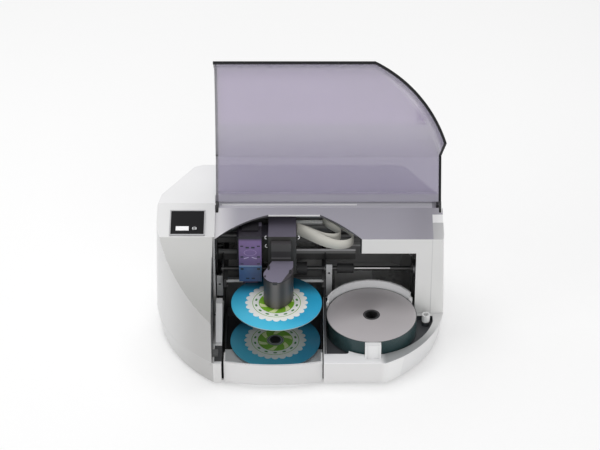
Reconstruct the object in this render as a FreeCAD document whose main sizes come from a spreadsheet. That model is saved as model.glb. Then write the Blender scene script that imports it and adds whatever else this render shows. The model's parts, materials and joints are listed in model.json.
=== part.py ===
import FreeCAD, Part
import math
import os
from types import SimpleNamespace

import Sketcher
from FreeCAD import Placement, Rotation, Vector

# Driving sizes in millimetres. X runs right, Z up, and depths are counted back from the case's front plane.
SIZES = {
    # case
    "case_width": 386, "case_depth": 272, "case_height": 178, "split_height": 36, "foot_height": 3,
    "wall": 2.5, "base_inset": 5, "base_front_inset": 2, "top_inset": 4, "top_front_inset": 2,
    "top_rear_inset": 16, "facet_half": 112, "left_corner_end": 132, "left_corner_cut_x": 33.5,
    "left_corner_cut_y": 45, "right_corner_end": 117, "right_corner_cut_x": 34.5,
    "right_corner_cut_y": 36.5, "side_end": 163, "side_turn": 22, "side_turn_in": 4.5,
    "rear_cut_in": 46, "rear_cut_back": 5, "rear_corner_in": 58,
    # tower and deck
    "tower_right": -115, "nose_height": 96, "slope_mid_depth": 46, "slope_mid_height": 130.5,
    "deck_depth": 108, "slope_end_height": 163, "hinge_line_depth": 166, "hinge_line_height": 177,
    "crown_depth": 182, "deck_drop": 4, "trough_ahead": 8, "trough_behind": 14, "trough_floor": 168.5,
    "bay_left": -112.5, "band_left": 81.5, "pillar_left": 153.4, "band_bottom": 136.2, "arch_depth": 150,
    "arch_flat_left": -42, "arch_flat_right": 26.5, "arch_left_mid_x": -84, "arch_left_mid_y": 131,
    "arch_right_mid_x": 55, "arch_right_mid_y": 132,
    # lid
    "lid_thickness": 3, "lid_gap": 1, "lid_facet_half": 97, "lid_corner_mid_x": 153,
    "lid_corner_mid_y": 43.5, "lid_corner_end_x": 188, "lid_end_gap": 1.5, "lid_corner_gap": 1,
    "lid_rear_gap": 4, "lid_side_gap": 0.5, "lid_lip": 7, "lid_open_angle": 131, "hinge_depth": 170,
    "hinge_height": 172,
    "hinge_pin_radius": 1.8, "hinge_pin_fit": 0.02, "hinge_arm_width": 3, "hinge_arm_length": 12,
    "hinge_slot": 4.5, "hinge_bracket_width": 3.5, "hinge_bracket_ahead": 3.5,
    "hinge_bracket_behind": 3, "hinge_bracket_rise": 2, "arm_inset": 0.5,
    # drawer
    "drawer_left": -100, "drawer_right": 29.5, "drawer_gap": 1.5, "drawer_side_gap": 3,
    "drawer_bottom": 4, "drawer_bow": 4, "drawer_corner_depth": 4, "drawer_wall": 3,
    "drawer_ledge_end": 62, "drawer_ledge_top": 12, "drawer_tray_end": 141, "drawer_floor": 2,
    "drawer_seat_top": 14.8, "drawer_seat_radius": 14, "drawer_seat_bore": 10, "disc_offset": 2,
    "drawer_side": 1.8, "cheek_width": 2, "hub_rise": 2.5, "runner_height": 3, "runner_width": 4,
    # discs
    "disc_radius": 60, "disc_hole_radius": 7.5, "disc_thickness": 1.2, "disc_count": 20,
    "picker_x": -31, "picker_y": 79, "stack_bottom": 33, "held_disc_bottom": 76,
    # bin
    "rim_thickness": 2, "pan_left": 31.3, "pan_floor_top": 31, "pan_wall": 1, "recess_left": 34.6,
    "recess_front": 19, "recess_notch_right": 64, "recess_right": 177.5, "recess_rear": 143.2,
    "recess_side_end": 102, "recess_mid_x": 150, "recess_mid_y": 42, "recess_arc_end": 90,
    "bin_wall_gap": 1.5, "bin_wall_thickness": 2.5, "bin_wall_top": 68, "bin_wall_start": 34,
    "bin_wall_end": 156, "post_top": 62, "front_post_left": 85, "front_post_right": 106,
    "front_post_front": 9, "front_post_depth": 7.6, "front_post_top": 59, "groove_width": 1.6,
    "partition_left": 32, "partition_thickness": 2, "partition_front": 19, "partition_rear": 133,
    "partition_top": 62, "boss_x": 168, "boss_y": 92, "boss_radius": 5.5, "boss_bore": 3.6,
    "boss_top": 48, "stack_seat_outer": 20, "stack_seat_inner": 16, "post_angle": 4.3,
    # guides and brackets
    "guide_left": -111.5, "guide_right": -103, "guide_front": 44, "guide_knee": 84, "guide_rear": 96,
    "guide_foot": 38, "guide_top": 72, "shelf_drop": 2, "bumper_right": -107.7, "bumper_front": 18,
    "bumper_rear": 28, "bumper_top": 38.7, "sheet": 1.5, "bracket_front": 144.6, "bracket_bottom": 40,
    "bracket_width": 8, "left_bracket_top": 73, "right_bracket_top": 91, "flange_bottom": 60,
    "flange_top": 73, "flange_depth": 10, "bracket_hole": 1.6, "bracket_hole_drop": 14,
    # printer frame, tray and feed shaft
    "frame_left": -104, "frame_right": 35, "frame_ahead": 4.8, "frame_rear_gap": 10, "frame_top": 92,
    "bridge_right": 75, "bridge_depth": 174, "bridge_bottom": 80, "bridge_top": 97, "tray_left": -99,
    "tray_right": 31.5, "tray_length": 123, "tray_rear_gap": 8, "pocket_in": 60, "rail_ahead": 7,
    "tray_bottom": 65, "tray_thickness": 8, "pocket_depth": 1.6, "fit_gap": 0.3, "rail_lip": 2,
    "shaft_y": 150, "shaft_radius": 3, "roller_radius": 8.7, "roller_width": 14, "roller_inset": 22,
    "sleeve_left": 50, "sleeve_length": 22, "sleeve_radius": 6.5, "feed_motor_gap": 43,
    "bearing_radius": 6, "bearing_flange": 0.6, "feed_motor_radius": 12, "feed_motor_length": 26,
    "tray_hole": 9, "rail_web": 3, "rail_cap": 1.7,
    # carriage
    "rod_y": 176, "rod_z": 118, "rod_radius": 4, "rod_left": -112, "rod_end_gap": 40,
    "pulley_end_gap": 11, "carriage_left": -84, "carriage_right": -5, "block_left": -42,
    "block_front": 121, "cradle_front": 141.1, "carriage_rear": 169, "block_bottom": 93,
    "cradle_bottom": 97, "cradle_top": 140, "block_top": 154, "lug_rear": 184, "lug_bottom": 109,
    "lug_top": 126.5, "bushing_radius": 6, "bushing_length": 12, "running_gap": 0.05,
    "cartridge_left": -81, "cartridge_right": -51, "cartridge_front": 117, "cartridge_rear": 141,
    "cartridge_bottom": 78, "cartridge_top": 157, "nozzle_height": 6, "plate_rear": 194,
    "plate_bottom": 94, "plate_top": 160, "shelf_bottom": 146, "shelf_depth": 12, "shelf_end_gap": 13,
    "strip_y": 170.5, "strip_bottom": 150, "strip_height": 6, "pulley_y": 182,
    "pulley_radius": 5.5, "pulley_left": -103,
    "belt_bottom": 129, "belt_height": 5, "belt_thickness": 1, "clamp_width": 20, "motor_radius": 9,
    "motor_height": 22, "carriage_travel_right": 126, "ribbon_bottom": 141, "ribbon_height": 9,
    "ribbon_thickness": 0.5, "ribbon_reach": 75, "ribbon_clear": 5.5, "stub_radius": 1.5,
    "pulley_lip": 1.7, "holder_half": 4, "holder_height": 2, "cradle_back_depth": 9,
    # picker
    "column_left": -47, "column_right": -9, "column_front": 63, "column_shoulder": 88,
    "column_front_left": 68, "column_front_right": 71, "column_side": 98, "column_waist": 99,
    "column_flank": 5, "column_step": 9, "column_bottom": 78.6, "column_top": 121, "arm_rear": 120.4,
    "slide_front": 112, "slide_left": -38, "slide_right": -12, "slide_bottom": 84, "slide_top": 148,
    "hub_radius": 2.2, "hub_flange": 12, "hub_bottom": 72.5, "finger_width": 2.4, "finger_length": 3,
    "finger_bottom": 74, "pinion_radius": 5, "pinion_width": 6, "pinion_z": 112, "rack_gap": 0.3,
    "lift_motor_radius": 8, "lift_motor_length": 20,
    # panel and rear
    "label_left": -172, "label_right": -125, "label_start": 110, "label_end": 154,
    "label_thickness": 1.2, "label_frame": 1.6, "button_x": -155, "button_length": 17,
    "button_width": 7, "button_depth": 121, "button_proud": 1, "button_travel": 0.8, "lens_x": -139,
    "lens_radius": 3, "board_left": 45, "board_right": 140, "board_length": 94, "board_rear_gap": 26,
    "board_bottom": 12, "board_thickness": 1.6, "standoff_radius": 3, "panel_left": 40,
    "panel_right": 140, "panel_bottom": 44, "panel_top": 74, "panel_setback": 5.8,
    "panel_thickness": 2, "inlet_x": 70, "inlet_width": 12, "inlet_bore": 3.2, "usb_x": 110,
    "usb_width": 12, "port_z": 58, "port_height": 11, "port_depth": 14, "foot_radius": 9,
    "foot_x": 110, "foot_front": 45, "foot_rear_gap": 32, "screw_radius": 1.5, "screw_head": 3,
    "screw_length": 7,
}

doc = FreeCAD.newDocument("disc_label_printer")
sheet = doc.addObject("Spreadsheet::Sheet", "Sheet")
for row, (alias, number) in enumerate(SIZES.items(), 1):
    sheet.set(f"A{row}", alias)
    sheet.set(f"B{row}", str(number))
    sheet.setAlias(f"B{row}", alias)
doc.recompute()


class Size:
    """A length that carries both its value and the expression that binds it to the sheet."""

    def __init__(self, text, value):
        self.text = text
        self.value = value

    def __add__(self, other):
        other = sized(other)
        return Size(f"({self.text} + {other.text})", self.value + other.value)

    def __sub__(self, other):
        other = sized(other)
        return Size(f"({self.text} - {other.text})", self.value - other.value)

    def __mul__(self, other):
        other = sized(other)
        return Size(f"({self.text} * {other.text})", self.value * other.value)

    def __truediv__(self, other):
        other = sized(other)
        return Size(f"({self.text} / {other.text})", self.value / other.value)

    def __neg__(self):
        return Size(f"(-{self.text})", -self.value)

    def __radd__(self, other):
        return sized(other) + self

    def __rsub__(self, other):
        return sized(other) - self

    def __rmul__(self, other):
        return sized(other) * self

    def __float__(self):
        return float(self.value)


def sized(number):
    return number if isinstance(number, Size) else Size(f"({number})", number)


s = SimpleNamespace(**{alias: Size(f"Sheet.{alias}", sheet.get(alias)) for alias in SIZES})
s.stack_x = s.picker_x + s.carriage_travel_right
s.panel_depth = s.case_depth - s.panel_setback
s.foot_rear = s.case_depth - s.foot_rear_gap
s.board_rear = s.case_depth - s.board_rear_gap
s.board_front = s.board_rear - s.board_length
s.tray_front = s.case_depth - s.tray_rear_gap - s.tray_length
s.rail_front = s.tray_front - s.rail_ahead
s.frame_front = s.shaft_y - s.frame_ahead
s.frame_rear = s.case_depth - s.frame_rear_gap
s.shaft_end = s.case_width / 2 - s.feed_motor_gap
s.rod_right = s.case_width / 2 - s.rod_end_gap
s.pulley_right = s.rod_right - s.pulley_end_gap
s.shelf_right = s.pulley_right - s.shelf_end_gap
s.trough_start = s.hinge_depth - s.trough_ahead
s.trough_end = s.hinge_depth + s.trough_behind
s.lid_rear = s.hinge_depth - s.lid_rear_gap
s.lid_left = s.bay_left + s.lid_side_gap
s.lid_side_end = s.deck_depth - s.lid_end_gap
s.lid_corner_end_y = s.deck_depth - s.lid_corner_gap
ORIGIN_Y = (s.case_depth - s.drawer_bow) / 2
PARTS = []


def bind(thing, **sizes):
    """Tie properties to the sheet; a double underscore stands for a dot."""
    for name, size in sizes.items():
        thing.setExpression(name.replace("__", "."), sized(size).text)


def keep(label, thing):
    """Name a finished sub-part and shift it so that the row's origin is under the middle of the case."""
    depth = thing.FrontDepth if hasattr(thing, "FrontDepth") else ""
    thing.Label = label
    text = f"({depth}) - {ORIGIN_Y.text}" if depth else f"-{ORIGIN_Y.text}"
    thing.setExpression("Placement.Base.y", text)
    PARTS.append(thing)
    return thing


def at(thing, x, y, z):
    """Place a primitive, and note its depth so that keep can shift it."""
    bind(thing, Placement__Base__x=x, Placement__Base__y=y, Placement__Base__z=z)
    thing.addProperty("App::PropertyString", "FrontDepth")
    thing.FrontDepth = sized(y).text
    return thing


def box(x, y, z):
    """A block between the low and the high end of each pair."""
    block = doc.addObject("Part::Box", "block")
    bind(block, Length=sized(x[1]) - x[0], Width=sized(y[1]) - y[0], Height=sized(z[1]) - z[0])
    return at(block, x[0], y[0], z[0])


TURNS = {"x": Rotation(Vector(0, 1, 0), 90), "y": Rotation(Vector(1, 0, 0), -90), "z": Rotation()}


def rod(radius, length, x, y, z, axis="z"):
    """A cylinder that starts at a point and runs along an axis."""
    cylinder = doc.addObject("Part::Cylinder", "rod")
    cylinder.Placement = Placement(Vector(), TURNS[axis])
    bind(cylinder, Radius=radius, Height=length)
    return at(cylinder, x, y, z)


def fuse(*pieces):
    union = doc.addObject("Part::MultiFuse", "union")
    union.Shapes = list(pieces)
    return union


def group(*pieces):
    compound = doc.addObject("Part::Compound", "group")
    compound.Links = list(pieces)
    return compound


def cut(base, *tools):
    difference = doc.addObject("Part::Cut", "cut")
    difference.Base = base
    difference.Tool = tools[0] if len(tools) == 1 else fuse(*tools)
    return difference


def solid(label, shape):
    """A free-form sub-part, shaped from sizes read off the sheet."""
    feature = doc.addObject("Part::Feature", label)
    feature.Shape = shape
    return keep(label, feature)


def outline_sketch(body, name, plane, corners, level):
    """A closed outline of lines and arcs, every corner tied to the sheet.

    A corner is (x, y), or (x, y, (via_x, via_y)) where an arc through the via point follows it.
    """
    sketch = body.newObject("Sketcher::SketchObject", name)
    support = [item for item in body.Origin.OriginFeatures if item.Role == plane][0]
    sketch.AttachmentSupport = (support, "")
    sketch.MapMode = "FlatFace"
    sketch.setExpression("AttachmentOffset.Base.z", sized(level).text)

    def pin(geometry, place, point):
        for kind, size in zip(("DistanceX", "DistanceY"), point):
            size = sized(size)
            index = sketch.addConstraint(Sketcher.Constraint(kind, -1, 1, geometry, place, size.value))
            sketch.setExpression(f"Constraints[{index}]", size.text)

    ends = []
    for number, corner in enumerate(corners):
        following = corners[(number + 1) % len(corners)]
        start = Vector(float(corner[0]), float(corner[1]))
        stop = Vector(float(following[0]), float(following[1]))
        if len(corner) == 3:
            via = Vector(float(corner[2][0]), float(corner[2][1]))
            edge = sketch.addGeometry(Part.Arc(start, via, stop), False)
            mark = sketch.addGeometry(Part.Point(via), True)
            pin(mark, 1, corner[2])
            sketch.addConstraint(Sketcher.Constraint("PointOnObject", mark, 1, edge))
        else:
            edge = sketch.addGeometry(Part.LineSegment(start, stop), False)
        first = 1 if sketch.getPoint(edge, 1).distanceToPoint(start) < 0.001 else 2
        ends.append((edge, first, 3 - first))
    for number, (edge, first, last) in enumerate(ends):
        following = ends[(number + 1) % len(ends)]
        sketch.addConstraint(Sketcher.Constraint("Coincident", edge, last, following[0], following[1]))
        pin(edge, first, corners[number])
    return sketch


def pad(body, plane, corners, low, high):
    """Pad an outline between two levels along the plane's axis."""
    level = -sized(high) if plane == "XZ_Plane" else low
    sketch = outline_sketch(body, "outline", plane, corners, level)
    feature = body.newObject("PartDesign::Pad", "pad")
    feature.Profile = sketch
    bind(feature, Length=sized(high) - low)
    return feature


def padded(label, plane, corners, low, high):
    body = doc.addObject("PartDesign::Body", label)
    pad(body, plane, corners, low, high)
    return body


# Outlines and profiles of the case

def point(x, y, z=0):
    return Vector(float(x), float(y), float(z))


def closed(edges):
    return Part.Wire([edge.toShape() for edge in edges])


def case_outline(z, inset, front, rear):
    """The case's plan at one height: a faceted front, two round corners and a rear with cut corners."""
    side = float(s.case_width) / 2 - inset
    depth = float(s.case_depth) - rear
    half = float(s.facet_half)
    cut_x, cut_y = float(s.right_corner_cut_x), float(s.right_corner_cut_y)
    a = point(-half, front, z)
    b = point(half, front, z)
    right_mid = point(side - cut_x + 0.2 * inset, cut_y + 0.6 * inset, z)
    c = point(side, s.right_corner_end, z)
    ring = [
        c,
        point(side, s.side_end, z),
        point(side - float(s.side_turn_in), s.side_end + s.side_turn, z),
        point(side - float(s.rear_cut_in), depth - float(s.rear_cut_back), z),
        point(side - float(s.rear_corner_in), depth, z),
    ]
    left = [Vector(-corner.x, corner.y, z) for corner in reversed(ring[1:])]
    last = point(-side, s.left_corner_end, z)
    cut_x, cut_y = float(s.left_corner_cut_x), float(s.left_corner_cut_y)
    left_mid = point(-side + cut_x - 0.2 * inset, cut_y + 0.6 * inset, z)
    around = ring + left + [last]
    edges = [Part.LineSegment(a, b), Part.Arc(b, right_mid, c)]
    edges += [Part.LineSegment(p, q) for p, q in zip(around, around[1:])]
    edges.append(Part.Arc(last, left_mid, a))
    return closed(edges)


def upper_body(skin):
    """The drafted block above the split line, drawn in by a skin's thickness."""
    low = float(s.split_height) - (0.0 if skin == 0 else 2.0)
    high = float(s.case_height) + 4
    top_plan = case_outline(
        high, float(s.top_inset) + skin, float(s.top_front_inset) + skin, float(s.top_rear_inset) + skin
    )
    return Part.makeLoft([case_outline(low, skin, skin, skin), top_plan], True, True)


def side_profile(skin):
    """The tower's side view as a slab across the case, its top drawn down by a skin's thickness."""
    low = point(0, 0, 0)
    nose = Vector(0, 0, float(s.nose_height))
    mid = Vector(0, float(s.slope_mid_depth), float(s.slope_mid_height))
    brow = Vector(0, float(s.deck_depth), float(s.slope_end_height))
    hinge = Vector(0, float(s.hinge_line_depth), float(s.hinge_line_height))
    crown = Vector(0, float(s.crown_depth), float(s.case_height))
    ahead, behind = -40.0, float(s.case_depth) + 40
    drop = Vector(0, 0, skin * 1.15)
    slope = (mid.z - nose.z) / (mid.y - nose.y) * 1.2
    start = Vector(0, ahead, nose.z + slope * ahead)
    top = [start - drop, nose - drop]
    edges = [Part.LineSegment(top[0], top[1]), Part.Arc(nose - drop, mid - drop, brow - drop)]
    rest = [brow, hinge, crown, Vector(0, behind, crown.z)]
    rest = [corner - Vector(0, 0, skin) if corner.y > brow.y else corner - drop for corner in rest]
    rest += [Vector(0, behind, 0), Vector(0, ahead, 0), top[0]]
    edges += [Part.LineSegment(p, q) for p, q in zip(rest, rest[1:])]
    half = float(s.case_width)
    return Part.Face(closed(edges)).extrude(Vector(2 * half, 0, 0)).translated(Vector(-half, 0, 0))


def slab(corners, axis, low, high):
    """A prism of straight sides across X (corners are depth, height) or Z (corners are x, depth)."""
    if axis == "x":
        ring = [Vector(low, float(a), float(b)) for a, b in corners]
        reach = Vector(high - low, 0, 0)
    else:
        ring = [Vector(float(a), float(b), low) for a, b in corners]
        reach = Vector(0, 0, high - low)
    return Part.Face(Part.makePolygon(ring + ring[:1])).extrude(reach)


def block(x, y, z):
    size = [float(pair[1]) - float(pair[0]) for pair in (x, y, z)]
    return Part.makeBox(*size, point(x[0], y[0], z[0]))


FAR = 400.0


def slope_height(depth):
    """Height of the tower's upper slope at a depth."""
    rise = (s.hinge_line_height - s.slope_end_height) / (s.hinge_line_depth - s.deck_depth)
    return s.slope_end_height + (depth - s.deck_depth) * rise


def deck_line(below):
    """The recessed deck's side view: everything above the deck and ahead of the trough's rear step."""
    drop = float(s.deck_drop) + below
    start = s.trough_start - below
    floor = s.trough_floor - below
    return [
        (-FAR, s.slope_end_height - drop), (s.deck_depth, s.slope_end_height - drop),
        (start, slope_height(start) - drop), (start, floor), (s.trough_end + below, floor),
        (s.trough_end + below, FAR), (-FAR, FAR),
    ]


def hinge_arm_lefts():
    """The left side of each hinge arm, just inside the lid's two sides."""
    return s.bay_left + s.arm_inset, s.lid_corner_end_x - s.hinge_arm_width


# Case

def upper_housing():
    wall = float(s.wall)
    outer = upper_body(0).common(side_profile(0))
    inner = upper_body(wall).common(side_profile(wall))
    outer = outer.cut(block((s.tower_right, FAR), (-FAR, s.deck_depth), (0, FAR)))
    outer = outer.cut(slab(deck_line(0), "x", float(s.bay_left), FAR))
    room = block((-FAR, s.tower_right - wall), (-FAR, FAR), (-1, FAR))
    room = room.fuse(block((-FAR, FAR), (s.deck_depth + wall, FAR), (-1, FAR)))
    inner = inner.common(room).cut(slab(deck_line(wall), "x", float(s.bay_left) - wall, FAR))
    shell = outer.cut(inner)
    shell = shell.cut(block((s.bay_left, s.pillar_left), (s.deck_depth - 10, s.deck_depth + wall + 1),
                            (0, s.band_bottom)))
    front, flat = s.deck_depth, s.arch_depth
    arch = [
        Part.LineSegment(point(s.bay_left, front - 20), point(s.band_left, front - 20)),
        Part.LineSegment(point(s.band_left, front - 20), point(s.band_left, front)),
        Part.Arc(point(s.band_left, front), point(s.arch_right_mid_x, s.arch_right_mid_y),
                 point(s.arch_flat_right, flat)),
        Part.LineSegment(point(s.arch_flat_right, flat), point(s.arch_flat_left, flat)),
        Part.Arc(point(s.arch_flat_left, flat), point(s.arch_left_mid_x, s.arch_left_mid_y),
                 point(s.bay_left, front)),
        Part.LineSegment(point(s.bay_left, front), point(s.bay_left, front - 20)),
    ]
    opening = Part.Face(closed(arch)).extrude(Vector(0, 0, FAR)).translated(point(0, 0, s.band_bottom - 1))
    shell = shell.cut(opening)
    for x in hinge_arm_lefts():
        slot = (x - (s.hinge_slot - s.hinge_arm_width) / 2, x + (s.hinge_slot + s.hinge_arm_width) / 2)
        shell = shell.cut(block(slot, (s.trough_start - 8, s.trough_end), (s.trough_floor - 10, FAR)))
    pin_start = point(s.bay_left - 15, s.hinge_depth, s.hinge_height)
    pin_bore = float(s.hinge_pin_radius + s.hinge_pin_fit)
    shell = shell.cut(Part.makeCylinder(pin_bore, 20, pin_start, Vector(1, 0, 0)))
    gap = float(s.fit_gap)
    shell = shell.cut(block((s.panel_left - gap, s.panel_right + gap), (s.panel_depth - 8, FAR),
                            (s.panel_bottom - gap, s.panel_top + gap)))
    return shell


solid("upper_housing", upper_housing())


def base_tray():
    wall = float(s.wall)
    low, high = float(s.foot_height), float(s.split_height)
    inset, front = float(s.base_inset), float(s.base_front_inset)
    outer = Part.makeLoft([case_outline(low, inset, front, front), case_outline(high, 0, 0, 0)], True, True)
    hollow = Part.makeLoft([case_outline(low, inset + wall, front + wall, front + wall),
                            case_outline(high, wall, wall, wall)], True, True)
    hollow = hollow.cut(block((-FAR, FAR), (-FAR, FAR), (-1, low + wall)))
    tray = outer.cut(hollow)
    left = s.drawer_left - s.drawer_side_gap
    right = s.drawer_right + s.drawer_gap
    for x0 in (left - wall, right):
        tray = tray.fuse(block((x0, x0 + wall), (wall, s.drawer_tray_end), (low + wall / 2, high - 2)))
    shelf = (s.tower_right - wall, left)
    tray = tray.fuse(block(shelf, (wall, s.deck_depth), (high - 2 - s.shelf_drop, high - 2)))
    tray = tray.cut(block((left, right), (-20, s.drawer_wall + 5), (0, high + 1)))
    for x in (-s.foot_x, s.foot_x):
        for y in (s.foot_front, s.foot_rear):
            tray = tray.cut(Part.makeCylinder(float(s.screw_radius) + 0.2, 20, point(x, y, 0)))
    return tray.removeSplitter()


solid("base_tray", base_tray())
feet = []
screws = []
for x in (-s.foot_x, s.foot_x):
    for y in (s.foot_front, s.foot_rear):
        ring = cut(rod(s.foot_radius, s.foot_height, x, y, 0),
                   rod(s.screw_head + 0.5, s.foot_height, x, y, 0))
        feet.append(ring)
        head = rod(s.screw_head, 2, x, y, s.foot_height - 2)
        screws.append(fuse(head, rod(s.screw_radius, s.screw_length, x, y, s.foot_height - 1)))
keep("rubber_feet", group(*feet))
keep("case_screws", group(*screws))
panel = box((s.panel_left, s.panel_right), (s.panel_depth - s.panel_thickness, s.panel_depth),
            (s.panel_bottom, s.panel_top))
ports = [
    box((x - width / 2, x + width / 2), (s.panel_depth - s.panel_thickness - 1, s.panel_depth + 1),
        (s.port_z - s.port_height / 2, s.port_z + s.port_height / 2))
    for x, width in ((s.inlet_x, s.inlet_width), (s.usb_x, s.usb_width))
]
keep("rear_panel", cut(panel, *ports))
half_port = s.port_height / 2 - 0.1
inlet = box((s.inlet_x - s.inlet_width / 2 + 0.1, s.inlet_x + s.inlet_width / 2 - 0.1),
            (s.panel_depth - s.port_depth, s.panel_depth), (s.port_z - half_port, s.port_z + half_port))
socket = rod(s.inlet_bore, s.port_depth, s.inlet_x, s.panel_depth - s.port_depth + 3, s.port_z, "y")
inlet_pin = rod(1, s.port_depth - 2, s.inlet_x, s.panel_depth - s.port_depth + 1, s.port_z, "y")
keep("power_inlet", fuse(cut(inlet, socket), inlet_pin))
usb = box((s.usb_x - s.usb_width / 2 + 0.1, s.usb_x + s.usb_width / 2 - 0.1),
          (s.panel_depth - s.port_depth, s.panel_depth), (s.port_z - half_port, s.port_z + half_port))
mouth = box((s.usb_x - s.usb_width / 2 + 1.5, s.usb_x + s.usb_width / 2 - 1.5),
            (s.panel_depth - s.port_depth + 3, s.panel_depth + 1),
            (s.port_z - half_port + 1.5, s.port_z + half_port - 1.5))
tongue = box((s.usb_x - 2, s.usb_x + 2), (s.panel_depth - s.port_depth + 1, s.panel_depth - 2),
             (s.port_z - 2, s.port_z + 2))
keep("usb_port", fuse(cut(usb, mouth), tongue))


# Lid

def lid_outline(z, skin):
    """The closed lid's plan: open at the bay's left side, a faceted front and the right corner."""
    start = point(s.lid_left, skin, z)
    facet = point(s.lid_facet_half, skin, z)
    mid = point(float(s.lid_corner_mid_x) - 0.75 * skin, float(s.lid_corner_mid_y) + 0.65 * skin, z)
    end = point(float(s.lid_corner_end_x) - skin, s.lid_corner_end_y, z)
    back = [Vector(end.x, FAR, z), point(s.lid_left, FAR, z), start]
    edges = [Part.LineSegment(start, facet), Part.Arc(facet, mid, end)]
    edges += [Part.LineSegment(p, q) for p, q in zip([end] + back, back)]
    return Part.Face(closed(edges))


def lid_shell():
    skin = float(s.lid_thickness)
    low = float(s.split_height + s.rim_thickness + s.lid_gap)
    reach = Vector(0, 0, FAR)
    outer = lid_outline(low, 0).extrude(reach).common(side_profile(0))
    inner = lid_outline(low - 5, skin).extrude(reach).common(side_profile(skin))
    lip = block((-FAR, s.lid_left + skin), (-FAR, FAR), (0, FAR)).cut(side_profile(float(s.lid_lip)))
    shell = outer.cut(inner.cut(lip))
    end = s.lid_side_end
    brow = s.slope_end_height - skin * 1.15
    under = [
        (end, 0), (end, brow), (s.deck_depth, brow), (s.hinge_line_depth, s.hinge_line_height - skin),
        (FAR, s.hinge_line_height - skin), (FAR, 0),
    ]
    shell = shell.cut(slab(under, "x", -FAR, FAR))
    return shell.cut(block((-FAR, FAR), (s.lid_rear, FAR), (0, FAR)))


def opened(label, shape):
    """A piece of the lid, shaped closed and turned up to its open stop."""
    feature = doc.addObject("Part::Feature", label)
    feature.Shape = shape
    axis = point(0, s.hinge_depth, s.hinge_height)
    turn = Placement(Vector(), Rotation(Vector(1, 0, 0), -float(s.lid_open_angle)), axis)
    feature.Placement = Placement(point(0, -ORIGIN_Y), Rotation()) * turn
    feature.Label = label
    PARTS.append(feature)
    return feature


opened("lid_shell", lid_shell())


def hinge_arm(left):
    """An arm from the lid's rear edge, round the pin and on to a spike behind it."""
    edge, tip = s.lid_rear, s.hinge_depth + s.hinge_arm_length
    top, mid = s.hinge_line_height, s.hinge_height
    side = [
        (edge, top - s.lid_thickness), (edge, top - 0.2), (s.hinge_depth + 2, mid + 3.3), (tip, mid + 0.8),
        (tip, mid - 0.8), (s.hinge_depth, mid - 3.4), (edge + 0.3, mid - 1.5),
    ]
    arm = slab(side, "x", float(left), float(left + s.hinge_arm_width))
    eye = Part.makeCylinder(float(s.hinge_pin_radius + s.running_gap), 20,
                            point(left - 5, s.hinge_depth, s.hinge_height), Vector(1, 0, 0))
    return arm.cut(eye)


opened("hinge_arms", Part.makeCompound([hinge_arm(left) for left in hinge_arm_lefts()]))
left_arm, right_arm = hinge_arm_lefts()
bracket_lefts = (s.bay_left - s.wall - s.hinge_bracket_width, right_arm - s.fit_gap - s.hinge_bracket_width)
pin_ends = (left_arm + s.hinge_arm_width, right_arm + s.hinge_arm_width)
brackets = []
pins = []
for left, end in zip(bracket_lefts, pin_ends):
    cheek = box((left, left + s.hinge_bracket_width),
                (s.hinge_depth - s.hinge_bracket_ahead, s.hinge_depth + s.hinge_bracket_behind),
                (s.trough_floor, s.hinge_height + s.hinge_bracket_rise))
    brackets.append(cut(cheek, rod(s.hinge_pin_radius + s.hinge_pin_fit, s.hinge_bracket_width + 2, left - 1,
                                   s.hinge_depth, s.hinge_height, "x")))
    pins.append(rod(s.hinge_pin_radius, end - left, left, s.hinge_depth, s.hinge_height, "x"))
keep("hinge_brackets", group(*brackets))
keep("hinge_pins", group(*pins))


# Drawer

mid_x = (s.drawer_left + s.drawer_right) / 2
corner_y = s.drawer_corner_depth
inner_y = corner_y + s.drawer_wall
front = padded("drawer_face", "XY_Plane", [
    (s.drawer_left, corner_y, (mid_x, -s.drawer_bow)), (s.drawer_right, corner_y),
    (s.drawer_right, inner_y, (mid_x, s.drawer_wall - s.drawer_bow)), (s.drawer_left, inner_y),
], s.drawer_bottom, s.split_height)
drawer_base = s.foot_height + s.wall + s.runner_height / 2
ledge = box((s.drawer_left, s.drawer_right), (inner_y - s.drawer_wall / 2, s.drawer_ledge_end),
            (s.drawer_ledge_top - s.drawer_wall, s.drawer_ledge_top))
cheeks = [
    box((x, x + s.cheek_width), (inner_y - 1, s.drawer_ledge_end / 2.4),
        (s.drawer_ledge_top - s.drawer_wall, s.split_height - 1))
    for x in (s.drawer_left, s.drawer_right - s.cheek_width)
]
keep("drawer_front", fuse(front, ledge, *cheeks))
disc_x = s.picker_x - s.disc_offset
disc_y = s.picker_y - s.disc_offset
floor_top = drawer_base + s.drawer_floor
drawer_span = (s.drawer_left, s.drawer_right)
wall_heights = (drawer_base, s.drawer_ledge_top * 2)
floor = box(drawer_span, (s.drawer_ledge_end, s.drawer_tray_end), (drawer_base, floor_top))
sides = [
    box((x, x + s.drawer_side), (s.drawer_ledge_end, s.drawer_tray_end), wall_heights)
    for x in (s.drawer_left, s.drawer_right - s.drawer_side)
]
back = box(drawer_span, (s.drawer_tray_end - s.drawer_side, s.drawer_tray_end), wall_heights)
seat = cut(rod(s.drawer_seat_radius, s.drawer_seat_top - floor_top, disc_x, disc_y, floor_top),
           rod(s.drawer_seat_bore, s.drawer_seat_top, disc_x, disc_y, floor_top))
hub = rod(s.disc_hole_radius - 0.5, s.drawer_seat_top + s.hub_rise - drawer_base, disc_x, disc_y, drawer_base)
keep("drawer_tray", fuse(floor, back, seat, hub, *sides))
keep("drawer_runners", group(*[
    box((x, x + s.runner_width), (s.drawer_wall * 3, s.drawer_tray_end - 2),
        (s.foot_height + s.wall, drawer_base - s.fit_gap))
    for x in (s.drawer_left + 1, s.drawer_right - 1 - s.runner_width)
]))


def disc(x, y, z):
    """A disc with its centre hole, its underside at a height."""
    whole = rod(s.disc_radius, s.disc_thickness, x, y, z)
    return cut(whole, rod(s.disc_hole_radius, s.disc_thickness, x, y, z))


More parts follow.
